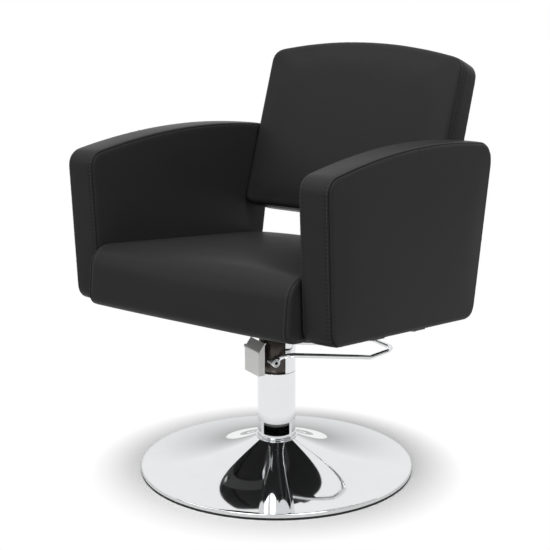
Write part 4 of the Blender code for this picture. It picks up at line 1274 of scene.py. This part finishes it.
@dataclass
class Base:
    """The bell-shaped floor dish with its rolled lip, and the ring under it."""

    radius: float
    bottom: float
    top: float
    hole: float
    lip: float = 0.008
    bell_power: float = 2.2
    bell_points: int = 72
    sheet: float = 0.0025
    lip_radius: float = 0.0022
    lip_run: float = 0.004
    ring_width: float = 0.010
    ring_corner: float = 0.0012
    collar_corner: float = 0.0011

    @classmethod
    def measured(cls) -> "Base":
        """Take the sizes from the frame."""
        low, high = span("base_dish")
        return cls(high[0], low[2], high[2], span("lower_column")[1][0] + FIT_GAP)

    def bell(self, radius: Array) -> Array:
        """Return the dish's height, shoulder + rise ((R - r) / (R - hole))^power."""
        shoulder = self.bottom + self.lip
        share = np.clip((self.radius - radius) / (self.radius - self.hole), 0.0, 1.0)
        return shoulder + (self.top - shoulder) * share ** self.bell_power

    def build(self) -> None:
        """Build the dish, its rubber ring and the collar at the column's foot."""
        inward = np.linspace(self.radius - self.sheet, self.hole, self.bell_points)
        outer = joined(inward, self.bell(inward))
        inner = outer[::-1] - [0.0, self.sheet]
        foot = np.array([[self.radius - self.sheet, self.bottom], [self.radius, self.bottom]])
        edge = np.array([[self.radius, self.bell(self.radius - self.sheet)]])
        shoulder = np.concatenate([foot[1:], edge, outer[:1] - [self.lip_run, 0.0]])
        shoulder = rounded(shoulder, self.lip_radius, steps=8, closed=False)[:-1]
        profile = np.concatenate([foot[:1], shoulder, outer[2:], inner[:-1]])
        turned_piece("dish", profile, CHROME, Body.BASE, "chrome", "base_dish")
        low, high = span("base_edge_ring")
        ring = box_outline(high[0] - self.ring_width, high[0], low[2], high[2], self.ring_corner)
        turned_piece("edge_ring", ring, RUBBER, Body.BASE, "rubber", "base_edge_ring")
        low, high = span("column_collar")
        ring = box_outline(self.hole, high[0], low[2], high[2], self.collar_corner)
        turned_piece("collar", ring, CHROME, Body.BASE, "chrome", "column_collar")


@dataclass
class Column:
    """The fixed column and the tube that rises out of it."""

    wall: float = 0.0028
    corner: float = 0.0007

    def tube(self, name: str, node: str, body: Body) -> None:
        """Build one smooth tube in the place of a CAD tube."""
        low, high = span(node)
        section = box_outline(high[0] - self.wall, high[0], low[2], high[2], self.corner)
        turned_piece(name, section, CHROME, body, "chrome", node)

    def build(self) -> None:
        """Build both tubes."""
        self.tube("column_tube", "lower_column", Body.BASE)
        self.tube("rising_tube", "pump_tube", Body.PUMP)


@dataclass
class PumpHead:
    """The casting that carries the seat, its half sleeve and the sheet hood over the pump."""

    head_radius: float
    sleeve_radius: float
    bottom: float
    top: float
    spindle_top: float
    shaft_level: float
    spindle_radius: float = 0.014
    casting_sides: int = 144
    casting_bevel: float = 0.0012
    sleeve_wall: float = 0.0028
    sleeve_edge: float = -0.002
    sleeve_corner: float = 0.0008
    sleeve_points: int = 120
    slot_half: float = 0.009
    slot_low: float = -0.0135
    slot_high: float = 0.018
    slot_radius: float = 0.0135
    slot_step: float = 0.0003
    slot_flank: float = 0.004
    hood_reach: float = 0.063
    hood_half: float = 0.031
    hood_bottom: float = -0.0284
    hood_fold: float = 0.0246
    hood_top: float = 0.0436
    hood_top_reach: float = 0.0475
    hood_sheet: float = 0.0018
    hood_corner: float = 0.0022
    hood_fold_radius: float = 0.003
    hood_least_return: float = 0.004
    hood_rows: int = 48
    hood_columns: int = 90
    screw_radius: float = 0.0042
    screw_height: float = 0.0055
    screw_tip: float = 1e-5

    @classmethod
    def measured(cls) -> "PumpHead":
        """Take the sizes from the frame."""
        low, high = span("pump_head")
        return cls(
            head_radius=high[0],
            sleeve_radius=span("lower_column")[1][0],
            bottom=low[2],
            top=span("head_sleeve")[1][2],
            spindle_top=high[2],
            shaft_level=PUMP.shaft_level(),
        )

    def build(self) -> None:
        """Build the casting, the sleeve, the hood and its screw."""
        self.casting()
        self.sleeve()
        self.hood()
        self.screw()

    def casting(self) -> None:
        """Build the head: a turned profile (r, z), with less radius in the slot for the crank."""
        half = math.asin(self.slot_half / self.head_radius)
        flanks = [end + step for end in (-half, half) for step in (-self.slot_flank, self.slot_flank)]
        turns = np.linspace(-np.pi, np.pi, self.casting_sides, endpoint=False)
        angle = np.sort(np.concatenate([turns, flanks]))
        low, high = self.shaft_level + self.slot_low, self.shaft_level + self.slot_high
        wide, step, bevel = self.head_radius, self.slot_step, self.casting_bevel
        profile = np.array(
            [
                [wide - bevel, self.bottom],
                [wide, self.bottom + bevel],
                [wide, low],
                [wide, low + step],
                [wide, high - step],
                [wide, high],
                [wide, self.top - bevel],
                [wide - bevel, self.top],
                [self.spindle_radius, self.top],
                [self.spindle_radius, self.spindle_top],
            ]
        )
        radius, height = profile[:, :1], profile[:, 1:]
        inside = (height > low) & (height < high) & (np.abs(angle) < half)
        radius = np.where(inside, self.slot_radius, radius)
        points = round_axis(radius, angle + PUMP.heading + math.pi, height)
        make_piece("head_casting", points, rod_faces(points), CASTING, Body.PUMP, "iron", "pump_head")

    def sleeve(self) -> None:
        """Build the half sleeve: a flat section (r, z) carried round the side away from the hood."""
        inner = self.sleeve_radius - self.sleeve_wall
        section = box_outline(inner, self.sleeve_radius, self.bottom, self.top, self.sleeve_corner)
        reach = math.acos(self.sleeve_edge / self.sleeve_radius)
        angle = np.linspace(-reach, reach, self.sleeve_points)[:, None] + PUMP.heading
        points = round_axis(section[:, 0], angle, section[:, 1])
        make_piece("head_shell", points, rod_faces(points), CHROME, Body.PUMP, "chrome", "head_sleeve")

    def hood(self) -> None:
        """Build the hood: a U section carried up its front and over the fold, closing in at the top.

        With (f, z) the line of its front in the pump's frame and (d, t) the section, a point lies at
        u = f + d (b - f) / D, where b is the side walls' rear edge and D the section's own depth.
        """
        half, ahead, top = self.hood_half, -self.hood_reach, -self.hood_top_reach
        depth = top - ahead
        line = np.array([[ahead, self.hood_bottom], [ahead, self.hood_fold], [top, self.hood_top]])
        line = resampled(rounded(line, self.hood_fold_radius, steps=9, closed=False), self.hood_rows)
        back = np.maximum(top, line[:, :1] + self.hood_least_return)
        channel = np.array([[depth, -half], [0.0, -half], [0.0, half], [depth, half]])
        section = resampled(rounded(channel, self.hood_corner, steps=9, closed=False), self.hood_columns)
        u = line[:, :1] + section[:, 0] * (back - line[:, :1]) / depth
        grid = PUMP.place(u, section[:, 1], line[:, 1:] + self.shaft_level)
        points, faces = shell(grid, -self.hood_sheet)
        make_piece("pump_hood", points, faces, SILVER_PAINT, Body.PUMP, "chrome", "lever_hood")

    def screw(self) -> None:
        """Build the domed screw at the hood's far side: r = R (1 - q^4)^(1/4) over its height q."""
        rise = np.linspace(0.0, 1.0, 13)
        radius = self.screw_radius * (1.0 - rise ** 4) ** 0.25 + self.screw_tip
        u = -self.hood_reach + self.screw_radius
        level = self.shaft_level + self.hood_fold

        def place(a: Array, b: Array, h: Array) -> Array:
            return PUMP.place(u + a, -self.hood_half - h, level + b)

        points = turned(joined(radius, self.screw_height * rise), place, sides=32)
        make_piece("hood_screw", points, rod_faces(points), ZINC, Body.PUMP, "bright_steel")


@dataclass
class PlungerSpring:
    """The plunger's return spring between the plunger's foot and its block; the lever shortens it, but it is
    built here at one fixed length and does not move with the lever.
    """

    wire_radius: float = 0.0005
    wire_sides: int = 10
    curls: int = 3
    curl_points: int = 40
    crank_reach: float = 0.0205
    lever_swing: float = math.radians(12.0)

    def build(self) -> None:
        """Build the wire, a helix (R cos a, R sin a, rise a) about the plunger's axis."""
        low, high = span("plunger_spring")
        centre = np.mean(span("plunger"), axis=0)
        angle = np.linspace(0.0, 2.0 * np.pi * self.curls, self.curls * self.curl_points + 1)
        reach = (high[0] - low[0]) / 2 - self.wire_radius
        levels = np.linspace(low[2] + self.wire_radius, high[2] - self.wire_radius, len(angle))
        path = round_axis(reach, angle, levels) + [*centre[:2], 0.0]
        points = swept(path, circle(self.wire_radius, self.wire_sides), UP)
        faces = rod_faces(points)
        wire = make_piece(
            "plunger_spring_wire", points, faces, ZINC, Body.PUMP, "bright_steel", "plunger_spring"
        )
        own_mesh(wire)


@dataclass
class Lever:
    """The shaft with its hubs and the rod loop that the foot presses."""

    shaft_radius: float = 0.0075
    shaft_hole: float = 0.0036
    shaft_half: float = 0.046
    shaft_corner: float = 0.0008
    hub_radius: float = 0.0095
    hub_place: float = 0.041
    hub_width: float = 0.009
    hub_corner: float = 0.0007
    turned_sides: int = 64
    half_width: float = 0.062
    rod_radius: float = 0.0052
    rod_sides: int = 24
    rod_points: int = 280
    bend_radius: float = 0.022
    neck_run: float = 0.006
    neck_radius: float = 0.010
    knee: tuple[float, float] = (-0.003, 0.0189)
    bend: tuple[float, float] = (0.2075, -0.0176)
    tip: tuple[float, float] = (0.2708, -0.0073)

    def path(self) -> Array:
        """Return the rod's centre line, from inside the near hub round to the far one."""
        rise = math.atan2(self.knee[1], self.knee[0] + PUMP.shaft_offset)
        runs = np.array([self.shaft_radius, self.hub_radius + FIT_GAP + self.neck_run])
        first = joined(runs * math.cos(rise) - PUMP.shaft_offset, runs * math.sin(rise))
        side = np.concatenate([first, [self.knee, self.bend, self.tip]])
        t = np.array([self.hub_place, self.hub_place] + [self.half_width] * 3)
        u, z = np.concatenate([side, side[::-1]]).T
        corners = PUMP.place(u, np.concatenate([t, -t[::-1]]), z + PUMP.shaft_level())
        radii = np.full(len(corners), self.bend_radius)
        radii[[1, -2]] = self.neck_radius
        return resampled(rounded(corners, radii, steps=15, closed=False), self.rod_points)

    def build(self) -> None:
        """Build the rod loop, the shaft and its hubs."""
        points = swept(self.path(), circle(self.rod_radius, self.rod_sides), UP)
        make_piece("lever_rod", points, rod_faces(points), CHROME, Body.LEVER, "chrome", "lever_loop")
        half = self.shaft_half
        tube = box_outline(self.shaft_hole, self.shaft_radius, -half, half, self.shaft_corner)
        points = turned(tube, PUMP.along_shaft, self.turned_sides)
        make_piece("pivot_shaft", points, ring_faces(points), ZINC, Body.LEVER, "bright_steel", "lever_shaft")
        for name, place in (("near", self.hub_place), ("far", -self.hub_place)):
            low, high = place - self.hub_width / 2, place + self.hub_width / 2
            ring = box_outline(self.shaft_radius + FIT_GAP, self.hub_radius, low, high, self.hub_corner)
            points = turned(ring, PUMP.along_shaft, self.turned_sides)
            node = f"lever_hub_{name}"
            make_piece(f"{node}_ring", points, ring_faces(points), CHROME, Body.LEVER, "chrome", node)


@dataclass
class BackBars:
    """The two bent flat bars that carry the backrest."""

    spacing: float = 0.170
    width: float = 0.040
    thickness: float = 0.005
    start: float = 0.150
    reach: float = 0.2810
    overlap: float = 0.110
    bend_radius: float = 0.012
    edge: float = 0.0011
    bar_points: int = 160

    def path(self, x: float) -> Array:
        """Return a bar's centre line: under the seat, up behind it and up the backrest's rear."""
        outside = -FIT_GAP - self.thickness / 2
        foot = np.array(BACK.beside(0.0, outside))
        up = np.array([math.sin(BACK.lean), math.cos(BACK.lean)])
        bend = foot + up * (self.reach - foot[0]) / up[0]
        line = np.array([[self.start, outside], [self.reach, outside], bend, bend + up * self.overlap])
        line = resampled(rounded(line, self.bend_radius, steps=13, closed=False), self.bar_points)
        return SEAT.place(x, line[:, 0], line[:, 1])

    def build(self) -> None:
        """Build both bars."""
        half, wide = self.thickness / 2, self.width / 2
        section = box_outline(-half, half, -wide, wide, self.edge)
        for side in Side:
            path = self.path(side.value * self.spacing / 2)
            points = swept(path, section, ACROSS)
            name = f"back_bar_{side.name.lower()}"
            make_piece(f"{name}_steel", points, rod_faces(points), BLACK_PAINT, Body.SEAT, "dark_steel", name)


# Studio


@dataclass(frozen=True)
class Lamp:
    """A square soft lamp that faces a target, and whether it shows in reflections."""

    name: str
    place: tuple[float, float, float]
    target: tuple[float, float, float]
    size: float
    power: float
    mirrored: bool = True

    def build(self) -> None:
        """Hang the lamp."""
        light = bpy.data.lights.new(self.name, "AREA")
        light.size = self.size
        light.energy = self.power
        lamp = put(self.name, light)
        lamp.location = self.place
        x, y, z = np.array(self.place) - np.array(self.target)
        lamp.rotation_euler = (math.atan2(math.hypot(x, y), z), 0.0, math.atan2(x, -y))
        lamp.visible_camera = False
        lamp.visible_glossy = self.mirrored


@dataclass(frozen=True)
class Card:
    """A dark card bent round the chair, which only reflections show, clear at its top.

    It is D (cos a, sin a) along an arc of azimuths a, and z from the floor up to its height. The
    heading is the azimuth of its middle, and it fades from its solid share of the height.
    """

    name: str
    heading: float
    spread: float
    height: float
    opacity: float
    solid: float
    distance: float = 3.3
    columns: int = 49

    def build(self) -> None:
        """Stand the card up."""
        turns = self.heading + np.linspace(-self.spread / 2, self.spread / 2, self.columns)
        grid = round_axis(self.distance, turns, np.array([[0.0], [self.height]]))
        mesh = make_mesh(self.name, grid, [grid_quads(numbered(grid))])
        material = bpy.data.materials.new(self.name)
        graph = Graph(material)
        level = graph.part(graph.spots(), "Z")
        alpha = graph.spread(level, self.opacity, 0.0, self.solid * self.height, self.height)
        graph.set(Base_Color=BLACK, Roughness=1.0, Specular_IOR_Level=0.0, Alpha=alpha)
        mesh.materials.append(material)
        card = put(self.name, mesh)
        card.visible_camera = card.visible_diffuse = card.visible_shadow = False


@dataclass
class Studio:
    """A plain pale floor, soft lamps, dark cards, a white surround and the photograph's camera."""

    camera_place: tuple[float, float, float] = (1.62216, -2.17667, 1.07430)
    azimuth: float = math.radians(36.695)
    pitch: float = math.radians(12.951)
    focal_pixels: float = 1292.7
    picture_pixels: float = 550.0
    sensor: float = 36.0
    shift: tuple[float, float] = (-0.0029, -0.0115)
    floor_size: float = 40.0
    floor_colour: float = 0.78
    floor_roughness: float = 0.9
    floor_glow: float = 0.1
    white_from: float = 0.30
    white_past: float = 0.41
    surround_level: float = 0.12
    lamps: tuple[Lamp, ...] = (
        Lamp("overhead", (-0.3, -0.5, 2.9), (0.0, 0.0, 0.4), size=3.0, power=44.0),
        Lamp("front_left", (-2.0, -2.8, 2.2), (0.0, 0.0, 0.5), size=1.6, power=14.0),
        Lamp("front", (0.55, -2.5, 1.9), (-0.1, 0.0, 0.5), size=1.4, power=22.0),
        Lamp("right", (2.0, -0.8, 2.8), (-0.2, 0.0, 0.5), size=1.4, power=41.0),
        Lamp("rear", (-1.2, 2.8, 2.2), (0.0, 0.0, 0.5), size=1.6, power=12.0, mirrored=False),
    )

    def build(self) -> None:
        """Build the floor, lamps, cards, world and camera."""
        self.floor()
        for lamp in self.lamps:
            lamp.build()
        ahead, behind = self.azimuth - math.pi / 2, self.azimuth + math.pi / 2
        Card("card_ahead", ahead, math.radians(170.0), height=1.6, opacity=1.0, solid=0.6).build()
        Card("card_behind", behind, math.radians(150.0), height=1.3, opacity=0.5, solid=0.0).build()
        self.world()
        self.camera()

    def floor(self) -> None:
        """Lay a floor that renders white, takes the shadow near the chair and is plain white past it."""
        half = self.floor_size / 2
        mesh = bpy.data.meshes.new("floor")
        corners = [(-half, -half, 0.0), (half, -half, 0.0), (half, half, 0.0), (-half, half, 0.0)]
        mesh.from_pydata(corners, [], [(0, 1, 2, 3)])
        material = bpy.data.materials.new("pale_floor")
        graph = Graph(material)
        distance = graph.node("ShaderNodeVectorMath", {0: graph.spots()}, operation="LENGTH")["Value"]
        seen = graph.seen()
        far = graph.spread(distance, 0.0, 1.0, self.white_from, self.white_past)
        far = graph.maths("MULTIPLY", far, seen)
        graph.set(
            Base_Color=graph.spread(far, self.floor_colour, 0.0),
            Roughness=self.floor_roughness,
            Specular_IOR_Level=0.0,
            Emission_Color=WHITE,
            Emission_Strength=graph.maths("MULTIPLY", graph.spread(far, self.floor_glow, 1.0), seen),
        )
        mesh.materials.append(material)
        put("floor", mesh)

    def world(self) -> None:
        """Surround the chair with white for the eye and for reflections, and with soft light."""
        world = bpy.data.worlds.new("surround")
        bpy.context.scene.world = world
        graph = Graph(world, "Background")
        seen = graph.seen("Is Transmission Ray")
        graph.set(Color=WHITE, Strength=graph.spread(seen, self.surround_level, 1.0))

    def camera(self) -> None:
        """Stand the camera where the photograph was taken from."""
        data = bpy.data.cameras.new("camera")
        data.sensor_width = self.sensor
        data.lens = self.focal_pixels / self.picture_pixels * self.sensor
        data.shift_x, data.shift_y = self.shift
        camera = put("camera", data)
        camera.location = self.camera_place
        camera.rotation_euler = (math.pi / 2 - self.pitch, 0.0, self.azimuth)
        bpy.context.scene.camera = camera
        bpy.context.scene.view_settings.view_transform = "Standard"


def main() -> None:
    """Build every sub-assembly around the frame."""
    logging.basicConfig(level=logging.INFO, format="%(name)s: %(message)s")
    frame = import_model()
    dress_frame(frame)
    Base.measured().build()
    Column().build()
    PumpHead.measured().build()
    PlungerSpring().build()
    Lever().build()
    BackBars().build()
    Upholstery().build()
    Studio().build()
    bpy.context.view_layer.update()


if __name__ == "__main__":
    main()
